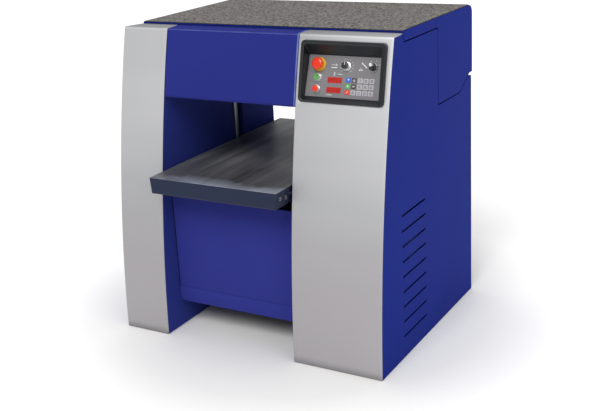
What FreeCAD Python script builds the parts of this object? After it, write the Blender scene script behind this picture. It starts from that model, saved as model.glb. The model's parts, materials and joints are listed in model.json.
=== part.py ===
import FreeCAD, Part
import math
import os
from FreeCAD import Vector

# Single-sided thickness planer, free standing, 520 mm wide table.
# Lengths are millimetres. The working frame has X = 0 in the middle of the width, Y = 0 at the
# foot of the two front covers with +Y towards the rear, and Z = 0 on the floor.
# save() moves each piece so that the origin is the middle of the base of the bounding box.

# ---------------------------------------------------------------- driving dimensions
WIDTH = 1070.0
HALF = WIDTH / 2
BODY_BACK = 839.0          # rear face of the columns
SHEET = 3.0                # sheet metal of covers and panels
GAP = 0.8                  # gap between neighbouring panels
FLOOR_GAP = 2.0            # panels stop this far above the floor
BEHIND_COVER = SHEET + 0.3 # plates with a curved front edge start this far behind the covers

# front covers
FLANGE_INSET = 10.2        # from the edge of a cover to its return flange
FLANGE_DEPTH = 17.0
FLANGE_THICK = 2.5
FLANGE_Z = (20.0, 1090.0)
WINDOW_X = (210.5, 511.5)  # opening for the control panel
WINDOW_Z = (912.0, 1098.5)
WINDOW_CORNER = 1.5
HEAD_LOW = 888.0           # lower edge of the head panel
HEAD_LIP = 16.0

# side and rear panels
HOOD_SEAM = 4.0            # open line between the panels and the hood
SHOULDER_GAP = 1.0         # between the left shoulder and the side of the hood
SHOULDER_SKIRT = (165.0, 219.0)    # slanted skirt under the trimmed corner of the left cover, in Y
PANEL_TOP_Y = 231.0
NOTCH_Y = 513.0
NOTCH_CHAMFER = 8.0
NOTCH_SLOPE_Y = (720.0, 804.0)
REAR_TOP = 867.0
INNER_REAR_Y = 800.0
LOWER_PANEL_Z = (103.0, 522.0)
LOWER_PANEL_Y = 91.0
LOWER_CREASE = 165.0
LOWER_FLANGE = 8.0

# foot of each column
PAN_Y = (22.0, BODY_BACK - 9.0)
PLATE_FOOT = 8.0
RAIL = 6.0
RAIL_TOP = 45.0
POST = 35.0
FRONT_POST = (225.0, 1085.0)   # start in Y and top in Z
REAR_POST = (785.0, 820.0)
ANCHOR_HOLE = 7.0
ANCHOR_Y = (60.0, 760.0)

# throat between the two columns
LEFT_WALL = -344.0
RIGHT_WALL = 196.0
WALL = 10.0                # plate of the side frames
WALL_TOP = 1090.0
WALL_BACK = 835.0
WALL_TOP_Y = 205.0
BRIDGE_FRONT = ((165.0, 262.0), (1000.0, 1085.0), 6.0)   # Y, Z and plate thickness
BRIDGE_REAR = ((640.0, 720.0), (893.0, 921.0), 5.0)
LEFT_PAN = (-HALF + 7.0, LEFT_WALL - WALL - 4.0)
RIGHT_PAN = (RIGHT_WALL + WALL + 4.0, HALF - 7.0)

# curved front: one large arc that leans back, a tight bend, then a nearly flat top strip
FRONT_RADIUS = 4870.0
FRONT_LEAN = math.radians(1.15)
BEND_RADIUS = 8.0
STRIP_SLOPE = math.radians(1.5)
STRIP_BACK_Y = 220.0
STRIP_BACK_Z = 1126.0

# table
TABLE_LENGTH_X = 520.0
TABLE_LEFT = -334.0
TABLE_RIGHT = TABLE_LEFT + TABLE_LENGTH_X
TABLE_FRONT = -36.0
TABLE_BACK = 872.0
TABLE_TOP = 626.6
TABLE_THICK = 57.7
TABLE_UNDER = TABLE_TOP - TABLE_THICK
TABLE_PLATE = 16.0
TABLE_DRAFT = 5.0
TABLE_RIM = 14.0
TABLE_RIB = 10.0
TABLE_POCKETS = (5, 8)
TABLE_LOW_X = (TABLE_LEFT + TABLE_DRAFT, TABLE_RIGHT - TABLE_DRAFT)
END_BOLTS = ((-13.0, 602.0), (25.0, 596.0), (60.0, 600.0))
BOLT_HEAD = 7.5
BOLT_SOCKET = 3.6

# cutting gear, all axes along X
CUT_Z = 886.0              # bottom of the cutting circle
CUT_RADIUS = 62.5
CUT_Y = 430.0
CUT_AXIS_Z = CUT_Z + CUT_RADIUS
BLOCK_RADIUS = 60.5
BLOCK_LEFT = -333.0
BLOCK_RIGHT = 185.0
GROOVE_HALF = 7.0          # half width of a knife groove
GROOVE_FLOOR = 40.0        # from the axis
SHAFT_RADIUS = 20.0
KNIFE_COUNT = 4
KNIFE_THICK = 3.0
KNIFE_FIT = 0.1            # between knife, gib and groove
RUNNING = 0.06             # radial clearance of a running fit
ROLLER_RADIUS = 36.0
ROLLER_SHAFT = 12.0
INFEED_Y = 312.0
OUTFEED_Y = 548.0
ROLLER_Z = CUT_Z - 1.0 + ROLLER_RADIUS
BEARING_SEAT = 40.0
SLEEVE_RADIUS = 30.0
ROLLER_BLOCK = 44.0        # width of the slot for a sliding block
BREAKER_RADII = (64.5, 73.0)
BREAKER_ANGLES = (200.0, 218.5, 237.0)
KICK_Y = 205.0
KICK_Z = 940.0
KICK_SHAFT = 8.0
KICK_PITCH = 20.0
KICK_COUNT = 26
KICK_THICK = 14.0
CHUTE_CREST = 962.0        # top of the chip chute behind the cutterblock
CHUTE_LIP = (830.0, 903.0) # its rear edge, as (y, z)
CHUTE_LOW = 890.0

# drives
CUTTER_PULLEY = 45.0
MOTOR_PULLEY = 75.0
MOTOR_Z = 330.0
MOTOR_RADIUS = 100.0
MOTOR_SHAFT = 19.0
MOTOR_FINS = (13, 12.0, 4.0)   # count, pitch and thickness
PULLEY_FLANGE = (2.0, 7.0)     # thickness and rise
PULLEY_X = (RIGHT_WALL + 20.0, RIGHT_WALL + 58.0)
BELT_COUNT = 3
BELT_PITCH = 11.0
BELT_WIDTH = 9.0
BELT_THICK = 5.0
BELT_CLEAR = 0.4
SPROCKET = 25.7
CHAIN_CLEAR = 0.4
CHAIN_THICK = 7.0
FEED_CHAIN_X = (-386.0, -378.0)
FEED_MOTOR_Z = 780.0
FEED_SHELF_Z = 710.0
MAIN_SHELF_Z = 215.0
SHELF = 10.0
LIFT_CHAIN_Z = (112.0, 120.0)
SPROCKET_TEETH = 16
SPROCKET_DEPTH = 4.0

# lifting gear
SPINDLE_RADIUS = 15.0
SPINDLE_X = (-244.0, 96.0)
SPINDLE_Y = (148.0, 688.0)
SPINDLE_FOOT = 107.0
CROSS_Z = (128.0, 158.0)
BEARING_HEIGHT = 16.0
SPINDLE_TOP = 519.0
BUSH_RADIUS = 30.0
TUBE_RADIUS = 30.0
TUBE_BORE = 24.0
TUBE_LENGTH = 350.0
NUT_HEIGHT = 40.0
LIFT_MOTOR_X = 150.0
LIFT_MOTOR_Y = 418.0

# vertical guides in both walls
GUIDE_Y = (540.0, 560.0)
SLOT_Y = (534.0, 600.0)
SLOT_Z = (150.0, 876.0)
CHANNEL_DEPTH = 18.0
GUIDE_PROUD = 4.0
SHOE_GAP = 0.3
SHOE_LENGTH = 100.0
SHOE_ARM = 22.0

# hood; its left side stands in from the outer edge of the left cover
HOOD_LEFT = -503.0
HOOD_TOP = 1131.0
MAT = 3.0
HOOD_BACK = 850.0
HOOD_LID_LOW = 1098.0
HOOD_STEP_Y = 517.2
HOOD_LOW = 828.0
HOOD_REAR_LOW = 880.0
HOOD_THROAT_LOW = 906.0    # rear wall over the throat, clear of the raised table when open
HOOD_FRONT = (224.0, 233.0)
HOOD_SLOPE_Y = (721.0, 806.0, 824.0)
HOOD_CORNER = 30.0
HINGE_Y = 846.0
HINGE_Z = 873.5
HINGE_X = (-440.0, 440.0)
HINGE_WIDTH = 80.0
HINGE_LEAF = 2.5
HINGE_KNUCKLE = 5.0
HINGE_PIN = 3.0
OUTLET_RADIUS = 80.0
OUTLET_WALL = 2.5
OUTLET_LENGTH = 60.0
OUTLET_FLANGE = (3.0, 92.0)    # thickness and radius
OUTLET_Z = 1000.0
THROAT_X = (LEFT_WALL + RIGHT_WALL) / 2

# control panel: a black bowl let into the right cover, with a tilted plate at its bottom
BEZEL_X = (204.0, 517.7)
BEZEL_Z = (909.0, 1105.0)
BEZEL_CORNER = 14.0
BEZEL_PROUD = 4.0
BOWL_X = (216.0, 506.0)
BOWL_LIP_Z = (919.0, 1092.0)
BOWL_WALL = 4.0
PLATE_Y = 131.0
PLATE_Z = 921.0
PLATE_TILT = 20.8
PLATE_HEIGHT = 140.4
PLATE_THICK = 3.0
BUTTON_X = 259.0
ESTOP_V = 108.5
START_V = 65.0
STOP_V = 26.3
KNOB_AT = (359.0, 107.0)
SELECTOR_AT = (455.0, 107.0)
SELECTOR_REST = 28.0    # degrees the wing stands to the left of upright
DISPLAY_X = 321.5
DISPLAY_V = (58.3, 25.6)
DISPLAY_SIZE = (52.5, 18.5)
KEY_FIRST = (371.5, 21.0)
KEY_PITCH = (21.0, 20.3)
KEY_SIZE = (17.5, 15.5)
KEY_GRID = (5, 3)

# supply cable gland and panel screws
GLAND_X = 450.0
GLAND_Z = 130.0
GLAND_BORE = 6.5
GLAND_NECK = 9.9
SCREW_Z = (40.0, 300.0, 560.0, 815.0)
SCREW_INSET = 16.0

# right louvres
LOUVRE_COUNT = 9
LOUVRE_FIRST_Z = 80.0
LOUVRE_PITCH = 55.0
LOUVRE_Y = (185.0, 385.0)
LOUVRE_HEIGHT = 8.0

BOX_FRONT = TABLE_FRONT
BOX_BACK = HOOD_BACK + OUTLET_LENGTH
ORIGIN_Y = (BOX_FRONT + BOX_BACK) / 2


# ---------------------------------------------------------------- helpers
def save(name, shape):
    """Write one node, moved from the working frame to the frame of the part."""
    moved = shape.copy()
    moved.translate(Vector(0, -ORIGIN_Y, 0))
    moved.exportStep("parts/" + name + ".step")


def box(x, y, z):
    """Box from three (low, high) pairs."""
    return Part.makeBox(x[1] - x[0], y[1] - y[0], z[1] - z[0], Vector(x[0], y[0], z[0]))


def bar_x(x, y, z, radius):
    """Round bar along X."""
    return Part.makeCylinder(radius, x[1] - x[0], Vector(x[0], y, z), Vector(1, 0, 0))


def bar_z(x, y, z, radius):
    """Round bar along Z."""
    return Part.makeCylinder(radius, z[1] - z[0], Vector(x, y, z[0]), Vector(0, 0, 1))


def bar_y(x, y, z, radius):
    """Round bar along Y."""
    return Part.makeCylinder(radius, y[1] - y[0], Vector(x, y[0], z), Vector(0, 1, 0))


def prism_x(points, x):
    """Polygon of (y, z) points carried along X."""
    corners = [Vector(x[0], y, z) for y, z in points]
    face = Part.Face(Part.makePolygon(corners + [corners[0]]))
    return face.extrude(Vector(x[1] - x[0], 0, 0))


def prism_z(points, z):
    """Polygon of (x, y) points carried along Z."""
    corners = [Vector(x, y, z[0]) for x, y in points]
    face = Part.Face(Part.makePolygon(corners + [corners[0]]))
    return face.extrude(Vector(0, 0, z[1] - z[0]))


def fuse(shapes):
    """One solid from several that touch or overlap."""
    return shapes[0].fuse(shapes[1:]).removeSplitter()


def group(shapes):
    """Separate solids in one node."""
    return Part.makeCompound(shapes)


def mirrored_pair(x, width):
    """(low, high) of a strip of this width centred on x."""
    return (x - width / 2, x + width / 2)


# ---------------------------------------------------------------- curved front
def front_centre():
    """Centre of the large arc, as (y, z)."""
    return (FRONT_RADIUS * math.cos(FRONT_LEAN), -FRONT_RADIUS * math.sin(FRONT_LEAN))


def front_y(z, depth=0.0):
    """Y of the curved front at height z, depth behind its outer surface."""
    cy, cz = front_centre()
    return cy - math.sqrt((FRONT_RADIUS - depth) ** 2 - (z - cz) ** 2)


def bend_centre():
    """Centre of the bend that is tangent to the large arc and to the top strip."""
    cy, cz = front_centre()
    dy, dz = math.cos(STRIP_SLOPE), math.sin(STRIP_SLOPE)
    qy = STRIP_BACK_Y + BEND_RADIUS * dz
    qz = STRIP_BACK_Z - BEND_RADIUS * dy
    wy, wz = qy - cy, qz - cz
    along = wy * dy + wz * dz
    reach = FRONT_RADIUS - BEND_RADIUS
    step = -along - math.sqrt(along ** 2 - wy ** 2 - wz ** 2 + reach ** 2)
    return (qy + step * dy, qz + step * dz)


def front_points(depth, z_low):
    """Foot, middle and end of the arc, middle and end of the bend, back of the strip."""
    cy, cz = front_centre()
    fy, fz = bend_centre()
    length = math.hypot(fy - cy, fz - cz)
    uy, uz = (fy - cy) / length, (fz - cz) / length
    ny, nz = -math.sin(STRIP_SLOPE), math.cos(STRIP_SLOPE)
    my, mz = uy + ny, uz + nz
    size = math.hypot(my, mz)
    radius = BEND_RADIUS - depth
    arc_end = (cy + (FRONT_RADIUS - depth) * uy, cz + (FRONT_RADIUS - depth) * uz)
    z_mid = (z_low + arc_end[1]) / 2
    return [
        (front_y(z_low, depth), z_low),
        (front_y(z_mid, depth), z_mid),
        arc_end,
        (fy + radius * my / size, fz + radius * mz / size),
        (fy + radius * ny, fz + radius * nz),
        (STRIP_BACK_Y - depth * ny, STRIP_BACK_Z - depth * nz),
    ]


def front_edges(points, x):
    """Arc, bend and strip as edges in the plane at x."""
    foot, mid, top, bend_mid, bend_end, back = [Vector(x, y, z) for y, z in points]
    return [
        Part.Arc(foot, mid, top).toShape(),
        Part.Arc(top, bend_mid, bend_end).toShape(),
        Part.makeLine(bend_end, back),
    ]


def closed_face(edges):
    """Face inside a closed chain of edges."""
    return Part.Face(Part.Wire(Part.__sortEdges__(edges)))


def front_sheet(x, outer, inner, z_low):
    """Sheet that follows the curved front, between two depths."""
    a = front_points(outer, z_low)
    b = front_points(inner, z_low)
    edges = front_edges(a, x[0]) + front_edges(b, x[0])
    edges.append(Part.makeLine(Vector(x[0], *a[-1]), Vector(x[0], *b[-1])))
    edges.append(Part.makeLine(Vector(x[0], *a[0]), Vector(x[0], *b[0])))
    return closed_face(edges).extrude(Vector(x[1] - x[0], 0, 0))


def front_plate(x, depth, z_low, rest):
    """Plate in the YZ plane whose front edge follows the curved front; rest closes it."""
    a = front_points(depth, z_low)
    path = [a[-1]] + rest + [a[0]]
    edges = front_edges(a, x[0])
    for start, end in zip(path[:-1], path[1:]):
        edges.append(Part.makeLine(Vector(x[0], *start), Vector(x[0], *end)))
    return closed_face(edges).extrude(Vector(x[1] - x[0], 0, 0))


def front_arc_band(x, outer, inner, z):
    """Band along the large arc only, between two depths."""
    edges = []
    for depth in (outer, inner):
        z_mid = (z[0] + z[1]) / 2
        points = [Vector(x[0], front_y(h, depth), h) for h in (z[0], z_mid, z[1])]
        edges.append(Part.Arc(*points).toShape())
    for h in z:
        edges.append(Part.makeLine(Vector(x[0], front_y(h, outer), h), Vector(x[0], front_y(h, inner), h)))
    return closed_face(edges).extrude(Vector(x[1] - x[0], 0, 0))


# ---------------------------------------------------------------- body of the machine
def front_cover(x):
    """Silver cover of one column, with return flanges on both long edges."""
    sheet = front_sheet(x, 0.0, SHEET, FLOOR_GAP)
    left_edge = (x[0] + FLANGE_INSET, x[0] + FLANGE_INSET + FLANGE_THICK)
    right_edge = (x[1] - FLANGE_INSET - FLANGE_THICK, x[1] - FLANGE_INSET)
    flanges = [front_arc_band(e, SHEET - 0.5, FLANGE_DEPTH, FLANGE_Z) for e in (left_edge, right_edge)]
    return fuse([sheet] + flanges)


def rounded_opening(x, z, radius, y):
    """Rectangle with round corners in the XZ plane, carried along Y."""
    block = box(x, y, z)
    edges = [e for e in block.Edges if abs(e.Vertexes[0].Y - e.Vertexes[1].Y) > 1.0]
    return block.makeFillet(radius, edges)


def left_front_cover():
    """Narrow cover; the outer corner of its top strip is trimmed back to the side of the hood."""
    start_y = SHOULDER_SKIRT[0] - SHEET
    inner_x = HOOD_LEFT - SHOULDER_GAP
    outside, behind = -HALF - 1.0, STRIP_BACK_Y + 5.0
    corners = [(outside, start_y), (-HALF, start_y), (inner_x, STRIP_BACK_Y), (inner_x, behind), (outside, behind)]
    return front_cover((-HALF, LEFT_WALL)).cut(prism_z(corners, (HOOD_LID_LOW, HOOD_TOP)))


def right_front_cover():
    cover = front_cover((RIGHT_WALL, HALF))
    window = rounded_opening(WINDOW_X, WINDOW_Z, WINDOW_CORNER, (40.0, 260.0))
    return cover.cut(window)


def louvre(z, x):
    """Long slot with round ends through the side panel."""
    r = LOUVRE_HEIGHT / 2
    slot = box(x, (LOUVRE_Y[0] + r, LOUVRE_Y[1] - r), (z - r, z + r))
    ends = [bar_x(x, y, z, r) for y in (LOUVRE_Y[0] + r, LOUVRE_Y[1] - r)]
    return fuse([slot] + ends)


def right_side_panel():
    """Outer panel with louvres; its top and rear corner leave room for the hood."""
    x = (HALF - SHEET, HALF)
    lid_line = HOOD_LID_LOW - HOOD_SEAM
    low_line = HOOD_LOW - HOOD_SEAM
    back = BODY_BACK - SHEET - 0.2
    rest = [
        (PANEL_TOP_Y, lid_line),
        (NOTCH_Y - NOTCH_CHAMFER, lid_line),
        (NOTCH_Y, lid_line - NOTCH_CHAMFER),
        (NOTCH_Y, low_line),
        (NOTCH_SLOPE_Y[0], low_line),
        (NOTCH_SLOPE_Y[1], REAR_TOP),
        (back, REAR_TOP),
        (back, FLOOR_GAP),
    ]
    through = (x[0] - 1.0, x[1] + 1.0)
    slots = [louvre(LOUVRE_FIRST_Z + i * LOUVRE_PITCH, through) for i in range(LOUVRE_COUNT)]
    return front_plate(x, BEHIND_COVER, FLOOR_GAP, rest).cut(slots)


def left_side_panel():
    """Outer panel with a level shoulder beside the hood and a slanted skirt under the cover."""
    top = HOOD_LID_LOW - HOOD_SEAM
    back = BODY_BACK - SHEET - 0.2
    front = front_y(top, BEHIND_COVER)
    middle_z = (FLOOR_GAP + top) / 2
    arc = [(front_y(z, BEHIND_COVER), z) for z in (FLOOR_GAP, middle_z, top)]
    edges = [Part.Arc(*[Vector(-HALF, y, z) for y, z in arc]).toShape()]
    corners = [arc[2], (back, top), (back, FLOOR_GAP), arc[0]]
    for start, end in zip(corners[:-1], corners[1:]):
        edges.append(Part.makeLine(Vector(-HALF, *start), Vector(-HALF, *end)))
    plate = closed_face(edges).extrude(Vector(SHEET, 0, 0))
    inner_x = HOOD_LEFT - SHOULDER_GAP
    shoulder = box((-HALF + SHEET, inner_x), (front + 1.0, back), (top - SHEET, top))
    start_y, end_y = SHOULDER_SKIRT
    skirt_plan = [(-HALF, start_y), (inner_x, end_y), (inner_x, end_y - 2 * SHEET), (-HALF + SHEET, start_y)]
    strip_under = STRIP_BACK_Z - SHEET - (STRIP_BACK_Y - start_y) * math.tan(STRIP_SLOPE)
    skirt = prism_z(skirt_plan, (top - SHEET, strip_under - 0.3))
    return fuse([plate, shoulder, skirt])


def side_frame(x, channel_x, channel_void):
    """Load-bearing wall of the throat with bearing seats, guide slot and welded guide channel."""
    foot, middle, top = front_points(BEHIND_COVER, FLOOR_GAP)[:3]
    edges = [Part.Arc(*[Vector(x[0], y, z) for y, z in (foot, middle, top)]).toShape()]
    corners = [top, (WALL_TOP_Y, WALL_TOP), (WALL_BACK, WALL_TOP), (WALL_BACK, FLOOR_GAP), foot]
    for start, end in zip(corners[:-1], corners[1:]):
        edges.append(Part.makeLine(Vector(x[0], *start), Vector(x[0], *end)))
    plate = closed_face(edges).extrude(Vector(x[1] - x[0], 0, 0))
    through = (x[0] - 1.0, x[1] + 1.0)
    cuts = [bar_x(through, CUT_Y, CUT_AXIS_Z, BEARING_SEAT), box(through, SLOT_Y, SLOT_Z)]
    for y in (INFEED_Y, OUTFEED_Y):
        cuts.append(box(through, mirrored_pair(y, ROLLER_BLOCK), (ROLLER_Z - 26.0, ROLLER_Z + 30.0)))
    plate = plate.cut(cuts)
    channel = box(channel_x, (SLOT_Y[0] - 6.0, SLOT_Y[1] + 6.0), (SLOT_Z[0] - 5.0, SLOT_Z[1] + 4.0))
    void = box(channel_void, (SLOT_Y[0] - 3.0, SLOT_Y[1] + 3.0), SLOT_Z)
    return fuse([plate, channel.cut(void)])


def left_side_frame():
    wall = (LEFT_WALL - WALL, LEFT_WALL)
    channel = (wall[0] - CHANNEL_DEPTH, wall[0])
    void = (channel[0] + SHEET, wall[0] + 0.01)
    return side_frame(wall, channel, void)


def right_side_frame():
    wall = (RIGHT_WALL, RIGHT_WALL + WALL)
    channel = (wall[1], wall[1] + CHANNEL_DEPTH)
    void = (wall[1] - 0.01, channel[1] - SHEET)
    return side_frame(wall, channel, void)


def base_pan(x, post_x):
    """Floor plate of one column, four rails along its edges and two posts for the outer panels."""
    y = PAN_Y
    anchors = [bar_z(sum(x) / 2, a, (-1.0, PLATE_FOOT + 1.0), ANCHOR_HOLE) for a in ANCHOR_Y]
    plate = box(x, y, (0.0, PLATE_FOOT)).cut(anchors)
    across = (x[0] + RAIL, x[1] - RAIL)
    rails = [
        box((x[0], across[0]), y, (PLATE_FOOT, RAIL_TOP)),
        box((across[1], x[1]), y, (PLATE_FOOT, RAIL_TOP)),
        box(across, (y[0], y[0] + RAIL), (PLATE_FOOT, RAIL_TOP)),
        box(across, (y[1] - RAIL, y[1]), (PLATE_FOOT, RAIL_TOP)),
    ]
    posts = [
        box(post_x, (start, start + POST), (PLATE_FOOT, top))
        for start, top in (FRONT_POST, REAR_POST)
    ]
    return [plate] + rails + posts


def base_pans():
    left = base_pan(LEFT_PAN, (LEFT_PAN[0] + RAIL, LEFT_PAN[0] + RAIL + POST))
    right = base_pan(RIGHT_PAN, (RIGHT_PAN[1] - RAIL - POST, RIGHT_PAN[1] - RAIL))
    return group(left + right)


def rear_panels():
    """Two column panels and the sheet between them."""
    y = (BODY_BACK - SHEET, BODY_BACK)
    left = fuse([
        box((-HALF, LEFT_WALL), y, (FLOOR_GAP, REAR_TOP)),
        box((-HALF, HOOD_LEFT - SHOULDER_GAP), y, (REAR_TOP, HOOD_LID_LOW - HOOD_SEAM)),
    ])
    right = box((RIGHT_WALL, HALF), y, (FLOOR_GAP, REAR_TOP))
    right = right.cut(bar_y(GLAND_X, (y[0] - 1.0, y[1] + 1.0), GLAND_Z, GLAND_NECK + 0.1))
    inner_y = (INNER_REAR_Y, INNER_REAR_Y + SHEET)
    middle = box((LEFT_WALL + GAP, RIGHT_WALL - GAP), inner_y, LOWER_PANEL_Z)
    return group([left, right, middle])


def lower_front_panel():
    """Recessed sheet below the table; its lower strip is set back by one sheet."""
    y = LOWER_PANEL_Y
    t = SHEET
    upper_x = (LEFT_WALL + 5.0, RIGHT_WALL - 2.0)
    lower_x = (LEFT_WALL + GAP, RIGHT_WALL - GAP)
    low, top = LOWER_PANEL_Z
    flange_y = (y, y + LOWER_FLANGE)
    upper = box(upper_x, (y, y + t), (LOWER_CREASE - t, top))
    step = box(upper_x, (y, y + 2 * t), (LOWER_CREASE - t, LOWER_CREASE))
    lower = box(lower_x, (y + t, y + 2 * t), (low, LOWER_CREASE))
    flanges = [
        box((upper_x[0], upper_x[0] + t), flange_y, (LOWER_CREASE, top)),
        box((upper_x[1] - t, upper_x[1]), flange_y, (LOWER_CREASE, top)),
        box(upper_x, flange_y, (top - t, top)),
    ]
    return fuse([upper, step, lower] + flanges)


def head_front_panel():
    """Plain sheet of the head between the columns, flush with the curved covers."""
    x = (LEFT_WALL + GAP, RIGHT_WALL - GAP)
    sheet = front_sheet(x, 0.0, SHEET, HEAD_LOW)
    y_low = front_y(HEAD_LOW)
    lip = box(x, (y_low + 0.2, y_low + HEAD_LIP), (HEAD_LOW, HEAD_LOW + SHEET))
    return fuse([sheet, lip])


def hollow_beam(x, y, z, wall):
    inner = box((x[0] - 1, x[1] + 1), (y[0] + wall, y[1] - wall), (z[0] + wall, z[1] - wall))
    return box(x, y, z).cut(inner)


def head_bridges():
    """Two box beams that join the side frames above the throat."""
    x = (LEFT_WALL, RIGHT_WALL)
    return group([hollow_beam(x, *BRIDGE_FRONT), hollow_beam(x, *BRIDGE_REAR)])


def chip_chute():
    """Folded sheet that leads chips from the cutterblock to the hood and closes the rear."""
    x = (LEFT_WALL + GAP, RIGHT_WALL - GAP)
    t = 2.0
    start, bend, knee = 508.0, 606.0, (722.0, 927.0)
    back, lip = CHUTE_LIP
    low, crest = CHUTE_LOW, CHUTE_CREST
    outline = [
        (start, crest), (bend, crest), knee, (back, lip), (back, low), (bend, low), (bend, low - t),
        (back + t, low - t), (back + t, lip + t * 0.8), (knee[0], knee[1] + t), (bend + 0.3, crest + t),
        (start, crest + t),
    ]
    return prism_x(outline, x)


def pressure_bar():
    """Bar that holds the board down just behind the cutterblock."""
    x = (LEFT_WALL + GAP, RIGHT_WALL - GAP)
    foot = box(x, (478.0, 506.0), (889.0, 903.0))
    web = box(x, (496.5, 506.0), (902.0, 960.0))
    return fuse([foot, web])


def crossmembers():
    """Two channels under the table that carry the spindles, and the three motor shelves."""
    x = (LEFT_WALL, RIGHT_WALL)
    through = (CROSS_Z[0] - 1.0, CROSS_Z[1] + 1.0)
    holes = [bar_z(sx, sy, through, SPINDLE_RADIUS + 3.0) for sx in SPINDLE_X for sy in SPINDLE_Y]
    beams = [box(x, mirrored_pair(y, 80.0), CROSS_Z).cut(holes) for y in SPINDLE_Y]
    shelf_z = (CROSS_Z[1] - SHELF, CROSS_Z[1])
    lift_shelf = box((100.0, RIGHT_WALL), mirrored_pair(LIFT_MOTOR_Y, 100.0), shelf_z)
    lift_shelf = lift_shelf.cut(bar_z(LIFT_MOTOR_X, LIFT_MOTOR_Y, through, 14.0))
    feed_x = (-520.0, LEFT_WALL - WALL)
    feed_shelf = box(feed_x, mirrored_pair(CUT_Y, 120.0), (FEED_SHELF_Z - SHELF, FEED_SHELF_Z))
    main_x = (RIGHT_WALL + WALL, 480.0)
    main_shelf = box(main_x, mirrored_pair(CUT_Y, 170.0), (MAIN_SHELF_Z - SHELF, MAIN_SHELF_Z))
    return group(beams + [lift_shelf, feed_shelf, main_shelf])


def guide_rails():
    """Steel bars set in the walls, on which the shoes of the table slide."""
    depth = WALL + CHANNEL_DEPTH - SHEET
    left = box((LEFT_WALL - depth, LEFT_WALL + GUIDE_PROUD), GUIDE_Y, SLOT_Z)
    right = box((RIGHT_WALL - GUIDE_PROUD, RIGHT_WALL + depth), GUIDE_Y, SLOT_Z)
    return group([left, right])


# ---------------------------------------------------------------- table and lift
def table_blank():
    """Outer form of the table without its pockets."""
    corners = [
        Vector(TABLE_LEFT, TABLE_FRONT, TABLE_TOP),
        Vector(TABLE_RIGHT, TABLE_FRONT, TABLE_TOP),
        Vector(TABLE_LOW_X[1], TABLE_FRONT, TABLE_UNDER),
        Vector(TABLE_LOW_X[0], TABLE_FRONT, TABLE_UNDER),
    ]
    face = Part.Face(Part.makePolygon(corners + [corners[0]]))
    return face.extrude(Vector(0, TABLE_BACK - TABLE_FRONT, 0))


def table():
    """Ribbed casting with a flat top, ends drawn in towards the bottom."""
    columns, rows = TABLE_POCKETS
    inside_x = (TABLE_LOW_X[0] + TABLE_RIM, TABLE_LOW_X[1] - TABLE_RIM)
    inside_y = (TABLE_FRONT + TABLE_RIM, TABLE_BACK - TABLE_RIM)
    inside_z = (TABLE_UNDER - 1.0, TABLE_TOP - TABLE_PLATE)
    size_x = (inside_x[1] - inside_x[0] - TABLE_RIB * (columns - 1)) / columns
    size_y = (inside_y[1] - inside_y[0] - TABLE_RIB * (rows - 1)) / rows
    pockets = []
    for i in range(columns):
        for j in range(rows):
            px = inside_x[0] + i * (size_x + TABLE_RIB)
            py = inside_y[0] + j * (size_y + TABLE_RIB)
            pockets.append(box((px, px + size_x), (py, py + size_y), inside_z))
    casting = table_blank().cut(pockets)
    bosses = [
        bar_z(sx, sy, (TABLE_UNDER, TABLE_TOP - TABLE_PLATE + 1.0), TUBE_RADIUS + 6.0)
        for sx in SPINDLE_X for sy in SPINDLE_Y
    ]
    return fuse([casting] + bosses)


def table_guide_shoes():
    """Angle blocks under the table; their upright legs run in the guide channels."""
    y = (GUIDE_Y[1] + SHOE_GAP, SLOT_Y[1] - SHOE_GAP)
    reach = WALL + CHANNEL_DEPTH - SHEET - 3.0
    z_low = TABLE_UNDER - SHOE_LENGTH
    arm_z = (TABLE_UNDER - SHOE_ARM, TABLE_UNDER)
    arm = 62.0
    left = fuse([
        box((LEFT_WALL - reach, LEFT_WALL - 4.0), y, (z_low, TABLE_UNDER)),
        box((LEFT_WALL - reach, LEFT_WALL + arm), y, arm_z),
    ])
    right = fuse([
        box((RIGHT_WALL + 4.0, RIGHT_WALL + reach), y, (z_low, TABLE_UNDER)),
        box((RIGHT_WALL - arm, RIGHT_WALL + reach), y, arm_z),
    ])
    return group([left, right])


def table_end_bolts():
    """Cap screws in the ends of the table near its front edge."""
    head_height = 4.0
    depth = 2.5
    blank = table_blank()
    bolts = []
    for y, z in END_BOLTS:
        inset = TABLE_DRAFT * (TABLE_TOP - z) / TABLE_THICK
        right_end = TABLE_RIGHT - inset + head_height
        left_end = TABLE_LEFT + inset - head_height
        right = bar_x((right_end - 6.0, right_end), y, z, BOLT_HEAD).cut(blank)
        left = bar_x((left_end, left_end + 6.0), y, z, BOLT_HEAD).cut(blank)
        bolts.append(right.cut(hexagon_x((right_end - depth, right_end + 1.0), y, z, BOLT_SOCKET)))
        bolts.append(left.cut(hexagon_x((left_end - 1.0, left_end + depth), y, z, BOLT_SOCKET)))
    return group(bolts)


def hexagon_x(x, y, z, radius):
    """Six-sided bar along X."""
    angles = [math.radians(60.0 * k) for k in range(6)]
    return prism_x([(y + radius * math.cos(a), z + radius * math.sin(a)) for a in angles], x)


def lift_tubes():
    """Tubes under the table that cover the spindles."""
    z = (TABLE_UNDER - TUBE_LENGTH, TABLE_UNDER)
    tubes = []
    for sx in SPINDLE_X:
        for sy in SPINDLE_Y:
            bore = bar_z(sx, sy, (z[0] - 1.0, z[1] + 1.0), TUBE_BORE)
            tubes.append(bar_z(sx, sy, z, TUBE_RADIUS).cut(bore))
    return group(tubes)


def lift_nuts():
    """Bronze nuts in the lower ends of the tubes."""
    low = TABLE_UNDER - TUBE_LENGTH
    z = (low, low + NUT_HEIGHT)
    nuts = []
    for sx in SPINDLE_X:
        for sy in SPINDLE_Y:
            bore = bar_z(sx, sy, (z[0] - 1, z[1] + 1), SPINDLE_RADIUS + RUNNING)
            nuts.append(bar_z(sx, sy, z, TUBE_BORE).cut(bore))
    return group(nuts)


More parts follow.
